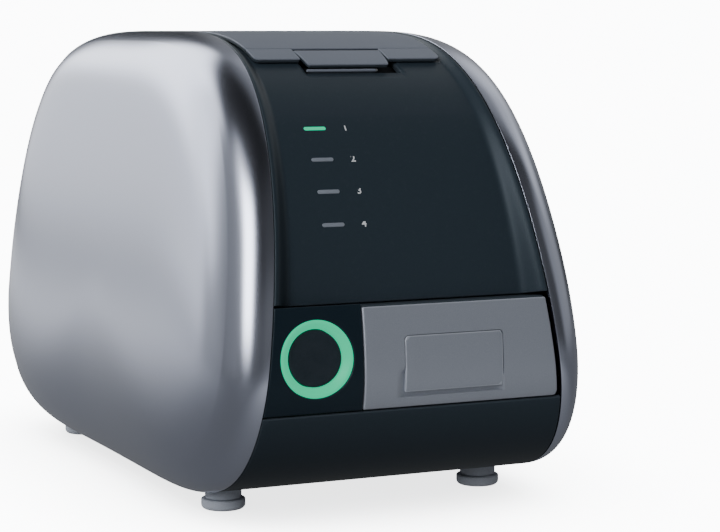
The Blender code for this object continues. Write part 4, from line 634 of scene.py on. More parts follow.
def round_section(radius, count=12):
    """A circle as (a, b) pairs."""
    turn = np.linspace(0, 2 * np.pi, count, endpoint=False)
    return np.stack((radius * np.cos(turn), radius * np.sin(turn)), axis=-1)


def box_section(half_width, half_height, round_by=0.0002):
    """A rectangle with round corners as (a, b) pairs."""
    signs = ((-1, -1), (1, -1), (1, 1), (-1, 1))
    return np.array(rounded_profile([(a * half_width, b * half_height, round_by) for a, b in signs], 3))


# Shader node groups and finishes


class Wiring:
    """Adds nodes to one node tree and joins them up."""

    def __init__(self, tree):
        self.tree = tree

    def node(self, kind, **values):
        """A new node with its own settings."""
        made = self.tree.nodes.new(kind)
        for key, value in values.items():
            setattr(made, key, value)
        return made

    def link(self, start, end):
        """Joins an output to an input."""
        self.tree.links.new(start, end)

    def feed(self, socket, value):
        """Sets a number on an input, and links anything else to it."""
        if isinstance(value, (int, float)):
            socket.default_value = value
        else:
            self.link(value, socket)

    def maths(self, operation, *inputs):
        """The result of one sum."""
        made = self.node("ShaderNodeMath", operation=operation)
        for socket, value in zip(made.inputs, inputs):
            self.feed(socket, value)
        return made.outputs[0]

    def effect(self, group, inputs):
        """The one output of a node group with its own inputs."""
        made = self.node("ShaderNodeGroup", node_tree=group)
        for label, value in inputs.items():
            self.feed(made.inputs[label], value)
        return made.outputs[0]

    def scaled(self, colour, brightness):
        """A colour times a brightness."""
        made = self.node("ShaderNodeVectorMath", operation="SCALE")
        made.inputs[0].default_value = colour
        self.link(brightness, made.inputs["Scale"])
        return made.outputs[0]

    def laid_over(self, base, colour, mask):
        """A plain colour over a base, as far as the mask says."""
        made = self.node("ShaderNodeMix", data_type="RGBA")
        self.link(mask, made.inputs[0])
        self.link(base, made.inputs[6])
        made.inputs[7].default_value = (*colour, 1)
        return made.outputs[2]


def open_group(name, inputs, outputs):
    """A new shader node group with float, vector or colour sockets, and its two end nodes."""
    group = bpy.data.node_groups.new(name, "ShaderNodeTree")
    kinds = {"F": "NodeSocketFloat", "V": "NodeSocketVector", "C": "NodeSocketColor"}
    for label, kind, default in inputs:
        socket = group.interface.new_socket(name=label, in_out="INPUT", socket_type=kinds[kind])
        if default is not None:
            socket.default_value = default
    for label, kind in outputs:
        group.interface.new_socket(name=label, in_out="OUTPUT", socket_type=kinds[kind])
    wiring = Wiring(group)
    return wiring, wiring.node("NodeGroupInput"), wiring.node("NodeGroupOutput")


def speckle_group():
    """Soft blotches and fine speckle as one value around 0: (n1 - 0.5) * blotch + (n2 - 0.5) * speckle,
    from two noises of different scale."""
    if "Speckle" in bpy.data.node_groups:
        return bpy.data.node_groups["Speckle"]
    wiring, start, end = open_group(
        "Speckle",
        (("Vector", "V", None), ("Blotch Scale", "F", 12.0), ("Speckle Scale", "F", 1800.0),
         ("Blotch", "F", 0.1), ("Speckle", "F", 0.1)),
        (("Value", "F"),),
    )
    values = []
    for scale, amount, detail in (("Blotch Scale", "Blotch", 1.0), ("Speckle Scale", "Speckle", 0.0)):
        noise = wiring.node("ShaderNodeTexNoise")
        noise.inputs["Detail"].default_value = detail
        wiring.link(start.outputs["Vector"], noise.inputs["Vector"])
        wiring.link(start.outputs[scale], noise.inputs["Scale"])
        centred = wiring.maths("SUBTRACT", noise.outputs["Fac"], 0.5)
        values.append(wiring.maths("MULTIPLY", centred, start.outputs[amount]))
    wiring.link(wiring.maths("ADD", *values), end.inputs["Value"])
    return wiring.tree


def grain_group():
    """Moulded grain as a height: cells of a Voronoi pattern, 1 - distance, mixed with a noise."""
    if "Grain" in bpy.data.node_groups:
        return bpy.data.node_groups["Grain"]
    wiring, start, end = open_group(
        "Grain", (("Vector", "V", None), ("Scale", "F", 1500.0), ("Cells", "F", 0.5)), (("Height", "F"),),
    )
    cells = wiring.node("ShaderNodeTexVoronoi", feature="F1")
    noise = wiring.node("ShaderNodeTexNoise")
    noise.inputs["Detail"].default_value = 0.0
    for texture in (cells, noise):
        wiring.link(start.outputs["Vector"], texture.inputs["Vector"])
        wiring.link(start.outputs["Scale"], texture.inputs["Scale"])
    rounded = wiring.maths("SUBTRACT", 1.0, cells.outputs["Distance"])
    weighted = wiring.maths("MULTIPLY", rounded, start.outputs["Cells"])
    rest = wiring.maths("SUBTRACT", 1.0, start.outputs["Cells"])
    wiring.link(wiring.maths("MULTIPLY_ADD", noise.outputs["Fac"], rest, weighted), end.inputs["Height"])
    return wiring.tree


def edge_group():
    """Wear and a painted highlight at edges as a mask: 1 at the piece's edge, fading over the width, broken up by
    a noise."""
    if "Edge wear and highlight" in bpy.data.node_groups:
        return bpy.data.node_groups["Edge wear and highlight"]
    wiring, start, end = open_group(
        "Edge wear and highlight", (("Vector", "V", None), ("Distance", "F", 10.0), ("Width", "F", 0.8)), (("Mask", "F"),),
    )
    noise = wiring.node("ShaderNodeTexNoise")
    noise.inputs["Scale"].default_value = 160.0
    wiring.link(start.outputs["Vector"], noise.inputs["Vector"])
    share = wiring.maths("DIVIDE", start.outputs["Distance"], start.outputs["Width"])
    near = wiring.maths("SUBTRACT", 1.0, wiring.maths("MINIMUM", share, 1.0))
    broken = wiring.maths("MULTIPLY_ADD", noise.outputs["Fac"], 0.6, 0.55)
    wiring.link(wiring.maths("MULTIPLY", near, broken), end.inputs["Mask"])
    return wiring.tree


def dust_group():
    """Dust as a mask: a noise over its threshold, more where the surface faces up."""
    if "Dust" in bpy.data.node_groups:
        return bpy.data.node_groups["Dust"]
    wiring, start, end = open_group(
        "Dust", (("Vector", "V", None), ("Normal", "V", None), ("Amount", "F", 0.1)), (("Mask", "F"),),
    )
    noise = wiring.node("ShaderNodeTexNoise")
    noise.inputs["Scale"].default_value = 420.0
    noise.inputs["Detail"].default_value = 1.0
    wiring.link(start.outputs["Vector"], noise.inputs["Vector"])
    split = wiring.node("ShaderNodeSeparateXYZ")
    wiring.link(start.outputs["Normal"], split.inputs[0])
    facing = wiring.maths("MULTIPLY_ADD", split.outputs["Z"], 0.5, 0.5)
    specks = wiring.maths("GREATER_THAN", noise.outputs["Fac"], 0.66)
    haze = wiring.maths("MULTIPLY_ADD", specks, 0.5, 0.25)
    wiring.link(
        wiring.maths("MULTIPLY", wiring.maths("MULTIPLY", facing, haze), start.outputs["Amount"]),
        end.inputs["Mask"],
    )
    return wiring.tree


def finish(name, colour, roughness, metallic=0.0, blotch=0.06, speckle=0.05, speckle_scale=1800.0, grain=0.0,
           grain_scale=1500.0, cells=0.5, wear_and_highlight_tint=0.0, dust=0.12, coat=0.0, stretch=None, rough_spread=0.3,
           glow=None, glow_strength=0.0, clear=0.0, shine=0.5):
    """A finish of its own: the colour varies with blotches and speckle, the roughness with them, a grain
    lifts the surface, edges are lighter by the edge tint as edge wear and as a painted highlight, and
    dust lies on what faces up. Stretch draws the pattern out."""
    if name in bpy.data.materials:
        return bpy.data.materials[name]
    made = bpy.data.materials.new(name)
    made.use_nodes = True
    made.diffuse_color = (*colour, 1)
    wiring = Wiring(made.node_tree)
    shader = made.node_tree.nodes["Principled BSDF"]
    place = wiring.node("ShaderNodeTexCoord").outputs["Object"]
    if stretch:
        mapping = wiring.node("ShaderNodeMapping")
        mapping.inputs["Scale"].default_value = stretch
        wiring.link(place, mapping.inputs["Vector"])
        place = mapping.outputs["Vector"]

    amounts = {"Speckle Scale": speckle_scale, "Blotch": blotch, "Speckle": speckle}
    spots = wiring.effect(speckle_group(), {"Vector": place, **amounts})
    brightness = wiring.maths("ADD", spots, 1.0)
    shade = wiring.scaled(colour, brightness)
    # Lighter edges: partly wear, partly a painted highlight where a rounded edge would catch the light.
    if wear_and_highlight_tint:
        distance = wiring.node("ShaderNodeAttribute", attribute_name="edge").outputs["Fac"]
        worn_and_lit = wiring.effect(edge_group(), {"Vector": place, "Distance": distance})
        lighter = [min(1.0, WORN_AND_HIGHLIGHT_LIFT + WORN_AND_HIGHLIGHT_GAIN * value) for value in colour]
        shade = wiring.laid_over(shade, lighter, wiring.maths("MULTIPLY", worn_and_lit, wear_and_highlight_tint))
    if dust:
        facing = wiring.node("ShaderNodeNewGeometry").outputs["Normal"]
        lying = wiring.effect(dust_group(), {"Vector": place, "Normal": facing, "Amount": dust})
        shade = wiring.laid_over(shade, DUST_COLOUR, lying)
    wiring.link(shade, shader.inputs["Base Color"])
    wiring.link(wiring.maths("MULTIPLY_ADD", spots, rough_spread, roughness), shader.inputs["Roughness"])

    shader.inputs["Metallic"].default_value = metallic
    shader.inputs["Specular IOR Level"].default_value = shine
    if not metallic:
        shader.inputs["Specular Tint"].default_value = COOL_TINT
    shader.inputs["Coat Weight"].default_value = coat
    shader.inputs["Coat Roughness"].default_value = COAT_ROUGHNESS
    shader.inputs["Transmission Weight"].default_value = clear
    if grain:
        height = wiring.effect(grain_group(), {"Vector": place, "Scale": grain_scale, "Cells": cells})
        bump = wiring.node("ShaderNodeBump")
        bump.inputs["Strength"].default_value = grain
        bump.inputs["Distance"].default_value = GRAIN_HEIGHT
        wiring.link(height, bump.inputs["Height"])
        wiring.link(bump.outputs["Normal"], shader.inputs["Normal"])
    if glow:
        wiring.link(wiring.scaled(glow, brightness), shader.inputs["Emission Color"])
        shader.inputs["Emission Strength"].default_value = glow_strength
    return made


def silver_paint():
    """Satin silver metal paint of the side shells."""
    return finish(
        "satin_silver", tuple(colours().silver), 0.22, metallic=1.0, blotch=0.03, speckle=0.05,
        speckle_scale=2600.0, grain=0.004, grain_scale=2200.0, cells=0.8, dust=0.015, rough_spread=0.15,
    )


def slate_plastic():
    """Dark slate plastic of the front, back and bottom panels."""
    return finish(
        "slate_panel", tuple(colours().slate), 0.42, speckle=0.2, blotch=0.1, grain=0.06, grain_scale=3000.0,
        wear_and_highlight_tint=0.12, dust=0.012, shine=0.22,
    )


def gloss_plastic():
    """Near black plastic of the panel round the button."""
    return finish(
        "gloss_black", (0.003, 0.009, 0.015), 0.34, speckle=0.2, blotch=0.1, grain=0.03, grain_scale=3000.0,
        wear_and_highlight_tint=0.1, dust=0.006, shine=0.2,
    )


def lid_plastic():
    """Grey plastic of the lid, its strips and the flap."""
    return finish(
        "grey_lid", tuple(colours().lid), 0.42, speckle=0.14, blotch=0.06, grain=0.14, grain_scale=2600.0,
        wear_and_highlight_tint=0.03, dust=0.04, shine=0.35,
    )


def tray_paint():
    """Silver paint of the tray's front and its pull."""
    # Its strongly lightened edges are mostly a painted highlight of the rounded edges reflecting the floor, partly
    # wear.
    return finish(
        "tray_silver", tuple(colours().tray), 0.38, metallic=0.35, speckle=0.2, speckle_scale=2600.0,
        blotch=0.05, grain=0.05, grain_scale=2400.0, cells=0.8, wear_and_highlight_tint=0.55, dust=0.04, coat=0.15,
    )


def glow_plastic():
    """Milky plastic that is lit mint green from inside."""
    tint = tuple(colours().glow)
    return finish(
        "mint_glow", tuple(0.3 * value for value in tint), 0.4, speckle=0.04, blotch=0.08, glow=tint,
        glow_strength=1.15, dust=0.01, grain=0.04, grain_scale=2500.0, shine=0.25,
    )


def unlit_plastic():
    """Grey lens of a status light that is off."""
    return finish(
        "grey_lens", tuple(colours().unlit), 0.4, speckle=0.08, blotch=0.05, dust=0.04, grain=0.05,
        grain_scale=2500.0, wear_and_highlight_tint=0.3,
    )


def button_plastic():
    """Grained black plastic of the start button."""
    return finish(
        "button_black", (0.005, 0.010, 0.016), 0.42, speckle=0.35, speckle_scale=1500.0, grain=0.3,
        grain_scale=1700.0, cells=0.9, wear_and_highlight_tint=0.1, dust=0.01, shine=0.16,
    )


def rubber():
    """Grey rubber of the feet."""
    return finish(
        "foot_grip", tuple(colours().rubber), 0.72, speckle=0.2, blotch=0.12, grain=0.35, grain_scale=900.0,
        dust=0.25,
    )


def turned_steel():
    """Turned steel of pins, shafts, springs and motor cans."""
    return finish(
        "turned_steel", (0.46, 0.46, 0.47), 0.3, metallic=1.0, speckle=0.2, speckle_scale=900.0, blotch=0.08,
        grain=0.12, grain_scale=700.0, stretch=(1.0, 12.0, 1.0), dust=0.02,
    )


def moulded_plastic():
    """Plain black plastic of sockets and inner housings."""
    return finish(
        "moulded_black", (0.016, 0.0165, 0.018), 0.48, speckle=0.25, blotch=0.1, grain=0.25,
        grain_scale=1400.0, dust=0.06,
    )


def print_ink():
    """White ink of the printed numbers."""
    return finish("white_print", (0.62, 0.64, 0.66), 0.5, speckle=0.06, blotch=0.05, dust=0.0)


# Outer pieces


def dome_points(side, angle, cover, depth):
    """Points of a side shell's dome at profile angles (rows) and cover angles (columns). With c the cover
    angle, x is the seam's half width plus the bulge times cos c, and the rim is drawn in to a share
    sin(c)^(2/p) of its way from the dome's centre; p blends with the direction. The inner face is offset by
    depth along the normal."""
    rim_y, rim_z = (value[:, None] for value in profile_at(angle))
    reach_y = rim_y / (BODY_DEPTH / 2)
    reach_z = (rim_z - SHELL_CENTRE_HEIGHT) / ((BODY_HEIGHT - UNDERSIDE_HEIGHT) / 2)
    along = np.where(rim_y < 0, SHELL_POWERS["front"], SHELL_POWERS["back"])
    up = np.where(reach_z > 0, SHELL_POWERS["top"], SHELL_POWERS["bottom"])
    weight = reach_y ** 2 / (reach_y ** 2 + reach_z ** 2)
    power = weight * along + (1 - weight) * up
    share = np.sin(cover)[None] ** (2 / power)
    y = share * rim_y
    z = SHELL_CENTRE_HEIGHT + share * (rim_z - SHELL_CENTRE_HEIGHT)
    rim = sizes().shell_edge
    half = SEAM_HALF_WIDTH - SEAM_TAPER_SHARE * (z - WAIST_HEIGHT)
    x = half + rim + (SHELL_BULGE - rim) * np.cos(cover)[None]
    points = np.stack((x, y, z), axis=-1)
    if depth:
        round_it = np.roll(points, -1, axis=0) - np.roll(points, 1, axis=0)
        inwards = np.cross(round_it, np.gradient(points, axis=1))
        inwards[:, 0] = (1, 0, 0)
        inwards /= np.maximum(np.linalg.norm(inwards, axis=-1, keepdims=True), 1e-12)
        to_centre = np.array((0, 0, SHELL_CENTRE_HEIGHT)) - points
        along_it = np.sum(inwards * to_centre, axis=-1, keepdims=True)
        points = points + depth * inwards * np.sign(along_it)
    return points * np.array((side, 1, 1))


def side_shell(name, side):
    """A whole side shell as one closed surface: its dome, a quarter round at the rim, the rim, and the
    dome's inner face. The points round the rim are evenly spaced, and the cover angles spread the rows over
    the nearly flat middle before they come down the dome's side."""
    round_count, flat_rows, side_rows, rim_rows = 280, 20, 38, 6
    flat_share, flat_power = 0.93, 3.75
    edge, wall = sizes().shell_edge, sizes().shell_wall
    angle = np.linspace(-np.pi / 2, 3 * np.pi / 2, 1201)
    y, z = (np.append(value, value[0]) for value in profile_at(angle[:-1]))
    lengths = np.append(0, np.cumsum(np.hypot(np.diff(y), np.diff(z))))
    angle = np.interp(np.linspace(0, lengths[-1], round_count + 1)[:-1], lengths, angle)
    first = np.arcsin(np.linspace(0, flat_share, flat_rows) ** flat_power)
    cover = np.concatenate([first, np.linspace(first[-1], np.pi / 2, side_rows)[1:]])
    outer = dome_points(side, angle, cover, 0)
    inner = dome_points(side, angle, cover, wall)
    s = np.interp(angle, ANGLES, LENGTHS)[:, None]
    bend = np.linspace(0, np.pi / 2, rim_rows + 1)[None, 1:]
    half = seam_at(s)
    fillet = on_body(side * (half + edge * (1 - np.sin(bend))), s, edge * (1 - np.cos(bend)))
    rim = on_body(side * half, s, wall)
    points = np.concatenate([outer, fillet, rim, inner[:, ::-1]], axis=1)
    faces = loop_faces(*points.shape[:2])
    faces = faces[:, ::-1] if side > 0 else faces
    put_piece(name, points, faces, silver_paint(), BODY, (name,))


def recess_at(x, s):
    """How deep the upper front panel lies below the body: full between its shoulders, nothing on the narrow
    land beside the seams, and fading from the tray up to the lid and out behind the lid."""
    low, high = sizes().recess_low, sizes().recess_high
    height = height_at(s)
    share = np.clip((height - UPPER_PANEL_BOTTOM) / (RECESS_FADE_TOP - UPPER_PANEL_BOTTOM), 0, 1)
    depth = np.where(s > s_top(CREST_SETBACK), high, low + (high - low) * share)
    depth = depth * (1 - smooth((s - s_top(LID_BACK_Y)) / RECESS_END_LENGTH))
    climb = (height - UPPER_PANEL_BOTTOM) / (BODY_HEIGHT - UPPER_PANEL_BOTTOM)
    width = SHOULDER_LOW - (SHOULDER_LOW - SHOULDER_HIGH) * climb
    return depth * smooth((panel_side(s) - np.abs(x) - LAND_WIDTH) / (width + LAND_WIDTH))


def front_face():
    """The sunken dark panel, with its notch and the opening under the lid."""
    core = LID_OPENING_HALF
    outside = float(panel_side(s_front(UPPER_PANEL_BOTTOM)))
    start, end = s_front(UPPER_PANEL_BOTTOM), s_top(BACK_SEAM_Y)
    opening_front = s_top(STRIP_FRONT_Y + STRIP_LEDGE)
    opening_back = s_top(LID_BACK_Y - LID_LEDGE)
    holes = [
        (-core, core, opening_front, opening_back),
        (-NOTCH_HALF_WIDTH, NOTCH_HALF_WIDTH, NOTCH_START, opening_front),
    ]

    def relief(x, s):
        """The sunken face, with a shallow dish that runs down into the notch and ends at the opening."""
        beside = np.maximum(np.abs(x) - NOTCH_HALF_WIDTH, 0) / DISH_SIDE
        below = np.maximum(NOTCH_START - s, 0) / DISH_LENGTH
        ended = smooth((s - opening_front + DISH_END) / DISH_END)
        return recess_at(x, s) + DISH_DEPTH * (1 - smooth(np.hypot(beside, below))) * (1 - ended)

    plate(
        "upper_front_panel", (-outside, -core, core, outside), lambda s: between_seams(s, -core, core), start,
        end, slate_plastic(), step=0.0012, relief=relief, holes=holes, hole_edge=0.0005,
        replaces=("upper_front_panel",),
    )


def front_crossbar():
    """The dark rail behind the tray's top edge: a rectangle with a round front upper edge, carried across."""
    (_, front, low), (reach, back, high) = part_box("front_crossbar")
    edge = sizes().panel_edge
    bend = np.linspace(0, np.pi / 2, 5)
    section = np.concatenate([
        np.stack((front + edge * (1 - np.sin(bend)), high - edge * (1 - np.cos(bend))), axis=-1)[::-1],
        ((back, high), (back, low), (front, low)),
    ])
    path = np.array(((-reach, 0, 0), (reach, 0, 0)), float)
    section = section * np.array((-1, 1))
    name = "front_crossbar"
    swept(name, path, (0, 0, 1), section, slate_plastic(), BODY, (name,))


def slot_guide():
    """The slot's front guide: flat plates from its foot over its blade to its neck, carried along one leaning
    line, and the fine round lip on top with its steel cap."""
    parts = (
        ("front_guide_foot", 0, GUIDE_FOOT_HALF_WIDTH, GUIDE_HEIGHTS[0], GUIDE_SHOULDER_HEIGHT,
         GUIDE_HALF_THICKNESS, 5, ("chute_front_guide",)),
        ("front_guide_blade", 0, GUIDE_BLADE_HALF_WIDTH, GUIDE_SHOULDER_HEIGHT, GUIDE_BLADE_TOP,
         GUIDE_HALF_THICKNESS, 5, ()),
        ("front_guide_neck", (0.0138 - NOTCH_HALF_WIDTH) / 2, (NOTCH_HALF_WIDTH + 0.0102) / 2,
         GUIDE_BLADE_TOP - 0.0002, GUIDE_HEIGHTS[1] + 0.0002, 0.0004, 4, ()),
    )
    for name, x, half, bottom, top, thick, count, replaces in parts:
        heights = np.linspace(bottom, top, count)
        path = np.stack((np.full(count, x), np.interp(heights, GUIDE_HEIGHTS, GUIDE_Y), heights), axis=-1)
        section = box_section(half, thick)
        swept(name, path, (0, 1, 0), section, slate_plastic(), BODY, replaces)
    radius, left, right = LIP_RADIUS, -NOTCH_HALF_WIDTH + 0.0002, LIP_RIGHT
    bar = rounded_profile(((0, left, 0), (radius, left, 0.0003), (radius, right, 0), (0, right, 0)))
    near, far = right + 0.0001, right + 0.0014
    cap = rounded_profile(((0, near, 0), (radius, near, 0.0001), (radius, far, 0.0007), (0, far, 0)), 7)
    place = (0, GUIDE_Y[1] - 0.0006, GUIDE_HEIGHTS[1] + 0.0003)
    turned("slot_lip", bar, place, (1, 0, 0), lid_plastic(), BODY, 40)
    turned("slot_lip_cap", cap, place, (1, 0, 0), turned_steel(), BODY, 40)


def lid_trim():
    """A fine dark bead round the lid's right front corner, a quarter circle, and back along its side."""
    corner, radius = 0.003, 0.0004
    out = LID_HALF_WIDTH + 0.0010
    front, back = s_top(STRIP_FRONT_Y) - 0.0008, s_top(LID_BACK_Y) - 0.001
    bend = np.linspace(0.35, np.pi / 2, 9)
    straight = np.linspace(front + corner, back, 61)[1:]
    x = np.concatenate([out - corner + corner * np.sin(bend), np.full_like(straight, out)])
    s = np.concatenate([front + corner - corner * np.cos(bend), straight])
    path = on_body(x, s, recess_at(x, s) + 0.0001)
    normals = (np.interp(s, LENGTHS, values) for values in (NORMAL_Y, NORMAL_Z))
    up = np.stack((np.zeros_like(s), *normals), axis=-1)
    swept("lid_trim", path, up, round_section(radius, 10), slate_plastic(), BODY)


def status_lights():
    """Four round-ended lenses, each crowned a little, with its number beside it. Each row of points is a
    circle of one radius, opened in the middle by the straight part's length, at the depth that the crown
    has there."""
    inset = LIGHT_RADIUS * np.array([1, 0.75, 0.5, 0.3, 0.12, 0.03, 0, 0, 1])
    rise = np.array([0.25, 0.245, 0.235, 0.21, 0.15, 0.06, -0.05, -3.0, -3.0]) / MM_PER_METRE
    spread = LIGHT_RADIUS - inset
    turn = np.linspace(0, 2 * np.pi, 49)[:, None]
    x = LIGHT_X + np.sign(np.round(np.cos(turn), 6)) * LIGHT_HALF_LENGTH + np.cos(turn) * spread
    up = np.sin(turn) * spread
    for number, height in enumerate(LIGHT_HEIGHTS, 1):
        s = s_front(height) + LIGHT_LIFT
        depth = recess_at(LIGHT_X, s) - rise
        points = on_body(x, s + up, np.broadcast_to(depth, x.shape))
        lens, slot = (glow_plastic(), "light_green") if number == 1 else (unlit_plastic(), "light_grey")
        name = f"status_light_{number}"
        put_piece(name, points, grid_faces(*x.shape), lens, BODY, (name,))
        put_number(number, s)


def put_number(number, s):
    """A printed number on the front panel, its left edge level with those of the others."""
    name = f"number_{number}"
    curve = bpy.data.curves.new(name, "FONT")
    curve.body = str(number)
    curve.size = sizes().number_height / 0.7
    curve.extrude = 0.00004
    curve.offset = 0.00007
    curve.align_y = "CENTER"
    draft = bpy.data.objects.new(name, curve)
    bpy.context.scene.collection.objects.link(draft)
    bpy.context.view_layer.update()
    mesh = bpy.data.meshes.new_from_object(draft.evaluated_get(bpy.context.evaluated_depsgraph_get()))
    bpy.data.objects.remove(draft, do_unlink=True)
    place = on_body(NUMBER_LEFT, s, recess_at(NUMBER_LEFT, s) - 0.00003)
    mesh.transform(Matrix.Translation(place) @ Euler((body_turn(s), 0, 0)).to_matrix().to_4x4())
    mesh.materials.clear()
    mesh.materials.append(print_ink())
    hand_over(name, mesh, BODY)


def lower_face():
    """The plain panel below the tray and the button."""
    start, end = s_under(-UNDER_SEAM_Y), s_front(TRAY_BOTTOM - 0.001)
    half = float(panel_side(s_front(TRAY_BOTTOM)))
    plate(
        "lower_front_panel", (-half, half), between_seams, start, end, slate_plastic(),
        replaces=("lower_front_panel",),
    )


def button_face():
    """The panel round the ring light: rays run from the ring's hole to the panel's four sides, with rounded
    edges at both ends."""
    low, high = s_front(TRAY_BOTTOM), s_front(BUTTON_PANEL_TOP)
    middle_s = s_front(BUTTON_Z)
    right = TRAY_LEFT - sizes().seam_gap
    left_low, left_high = -float(panel_side(low)), -float(panel_side(high))
    lean = (left_high - left_low) / (high - low)
    corners = [(left_low, low), (right, low), (right, high), (left_high, high)]
    aims = [math.atan2(s - middle_s, x - BUTTON_X) % (2 * math.pi) for x, s in corners]
    turn = np.unique(np.concatenate([np.linspace(0, 2 * np.pi, 241)[:-1], aims]))
    cos, sin = np.cos(turn), np.sin(turn)

    def to_border(inset):
        """Distance along each ray to the four straight sides, moved in by inset; the nearest one counts."""
        reaches = []
        for normal_x, normal_s, offset in (
            (1, 0, right - BUTTON_X), (0, 1, high - middle_s), (0, -1, middle_s - low),
            (-1, lean, BUTTON_X - left_low - lean * (middle_s - low)),
        ):
            size = math.hypot(normal_x, normal_s)
            toward = (cos * normal_x + sin * normal_s) / size
            reach = (offset / size - inset) / np.where(toward > 1e-9, toward, 1e-9)
            reaches.append(np.where(toward > 1e-9, reach, np.inf))
        return np.min(reaches, axis=0)

    edge = sizes().panel_edge
    hole = RING_RADIUS + 0.0002
    near = edge * EDGE_LINE_SHARES
    rows = [to_border(inset) for inset in near]
    across = np.linspace(0, 1, 16)[1:-1, None]
    rows += list(rows[-1] * (1 - across) + (hole + edge) * across)
    rows += [np.full_like(turn, hole + inset) for inset in near[::-1]]
    reach = np.array(rows).T
    reach = np.concatenate([reach, reach[:, ::-1], reach[:, :1]], axis=1)
    gaps = np.concatenate([near, np.full(len(across), edge), near[::-1]])
    drop = edge_drop(gaps, edge)
    depth = np.concatenate([drop, np.full(len(gaps), sizes().panel_wall), drop[:1]])
    distance = np.concatenate([gaps, gaps[::-1], gaps[:1]]) * MM_PER_METRE
    x = BUTTON_X + reach * cos[:, None]
    s = middle_s + reach * sin[:, None]
    points = on_body(x, s, np.broadcast_to(depth, x.shape))
    put_piece(
        "button_panel", points, loop_faces(*x.shape)[:, ::-1], gloss_plastic(), BODY,
        ("button_panel",), np.broadcast_to(distance, x.shape),
    )


def ring_and_button():
    """Ring light and start button: circles about the button's middle, each at its own radius and depth
    below the body, so that both follow its curve. The button's back is flat."""
    ring = (
        (0.01880, 0.0070), (0.01880, 0.00060), (0.01874, 0.00030), (0.01858, 0.00010), (0.01830, 0.0),
        (0.01780, 0.0), (0.01745, 0.00006), (0.01715, 0.00022), (0.01460, 0.00245), (0.01432, 0.00275),
        (0.01415, 0.00310), (0.01410, 0.00360), (0.01410, 0.0070), (0.01880, 0.0070),
    )
    disc = (
        (0.0, 0.00310), (0.004, 0.00309), (0.008, 0.00307), (0.0115, 0.00303), (0.0128, 0.00301),
        (0.0133, 0.00305), (0.01362, 0.00325), (0.01370, 0.00360), (0.01370, 0.00540), (0.0, 0.00540),
    )
    disc_back = disc[-1][1]
    turn = np.linspace(0, 2 * np.pi, 129)[:-1, None]
    front = (ANGLES >= -np.pi / 2) & (ANGLES <= np.pi / 2)
    for name, section, material, slot, body in (
        ("button_light_ring", ring, glow_plastic(), "light_green", BODY),
        ("start_button", disc, button_plastic(), "button_plastic", "start_button_body"),
    ):
        radius, depth = np.array(section).T
        x = BUTTON_X + radius * np.cos(turn)
        z = BUTTON_Z + radius * np.sin(turn)
        y = np.interp(z, PROFILE_Z[front], PROFILE_Y[front]) + depth
        if name == "start_button":
            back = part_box(name)[1][1]
            y = np.where(depth == disc_back, back, np.minimum(y, back - LEAST_WALL))
        points = np.stack((x, y, z), axis=-1)
        put_piece(name, points, loop_faces(*x.shape), material, body, (name,))


def button_spring():
    """The coil spring behind the button, a helix of round wire that a press squashes."""
    name = "button_spring"
    (low_x, low_y, _), (high_x, high_y, _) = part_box(name)
    turn = np.linspace(0, 2 * SPRING_TURNS * np.pi, 48 * SPRING_TURNS + 1)
    reach = (high_x - low_x) / 2 - SPRING_WIRE
    along = np.linspace(high_y - SPRING_WIRE, low_y + SPRING_WIRE, len(turn))
    path = np.stack((BUTTON_X + reach * np.cos(turn), along, BUTTON_Z + reach * np.sin(turn)), axis=-1)
    wire = round_section(SPRING_WIRE)
    spring = swept(name, path, (0, 1, 0), wire, turned_steel(), BODY, (name,))
    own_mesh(spring)


def tray():
    """The tray's front with its rounded edges and the pocket of the pull, and the pull that fills the
    pocket."""
    start, end = s_front(TRAY_BOTTOM), s_front(TRAY_TOP)
    right = float(panel_side(end)) - TRAY_SIDE_GAP
    pull_start, pull_end = s_front(PULL_BOTTOM), s_front(PULL_TOP)
    low, high = s_front(POCKET_BOTTOM), pull_end + PULL_GAP
    left_side, right_side = PULL_LEFT - PULL_GAP, PULL_RIGHT + PULL_GAP
    hair = 0.00003

    def relief(x, s):
        """The pocket: an even depth inside a rectangle with round upper corners."""
        near = np.minimum(x - left_side, right_side - x)
        reach = high - s
        inside = np.minimum(near, np.minimum(s - low, reach))
        rounded = POCKET_CORNER - np.hypot(POCKET_CORNER - near, POCKET_CORNER - reach)
        inside = np.where((near < POCKET_CORNER) & (reach < POCKET_CORNER), rounded, inside)
        return POCKET_DEPTH * smooth((inside + hair) / (2 * hair))

    fine = np.linspace(0, 0.0024, 13)[1:]
    x_stops = [value + way * hair for value in (left_side, right_side) for way in (-1, 1)]
    s_stops = [value + way * hair for value in (low, high) for way in (-1, 1)]
    x_stops += [*(left_side + fine), *(right_side - fine)]
    s_stops += [*(high - fine)]
    plate(
        "tray_front", (TRAY_LEFT, right), lambda s: (TRAY_LEFT, panel_side(s) - TRAY_SIDE_GAP), start, end,
        tray_paint(), body="tray", step=0.0025, edge=0.0008, wall=0.003,
        corners=(0.0008, 0.0026, 0.0008, 0.0008), relief=relief, x_stops=x_stops, s_stops=s_stops,
        replaces=("tray_front",),
    )
    sides = (PULL_LEFT, PULL_RIGHT)
    plate(
        "tray_pull", sides, lambda s: sides, pull_start, pull_end, tray_paint(), body="tray",
        step=0.002, edge=0.0004, wall=0.0016, corners=(0.0004, 0.0004, 0.002, 0.002), replaces=("tray_pull",),
    )


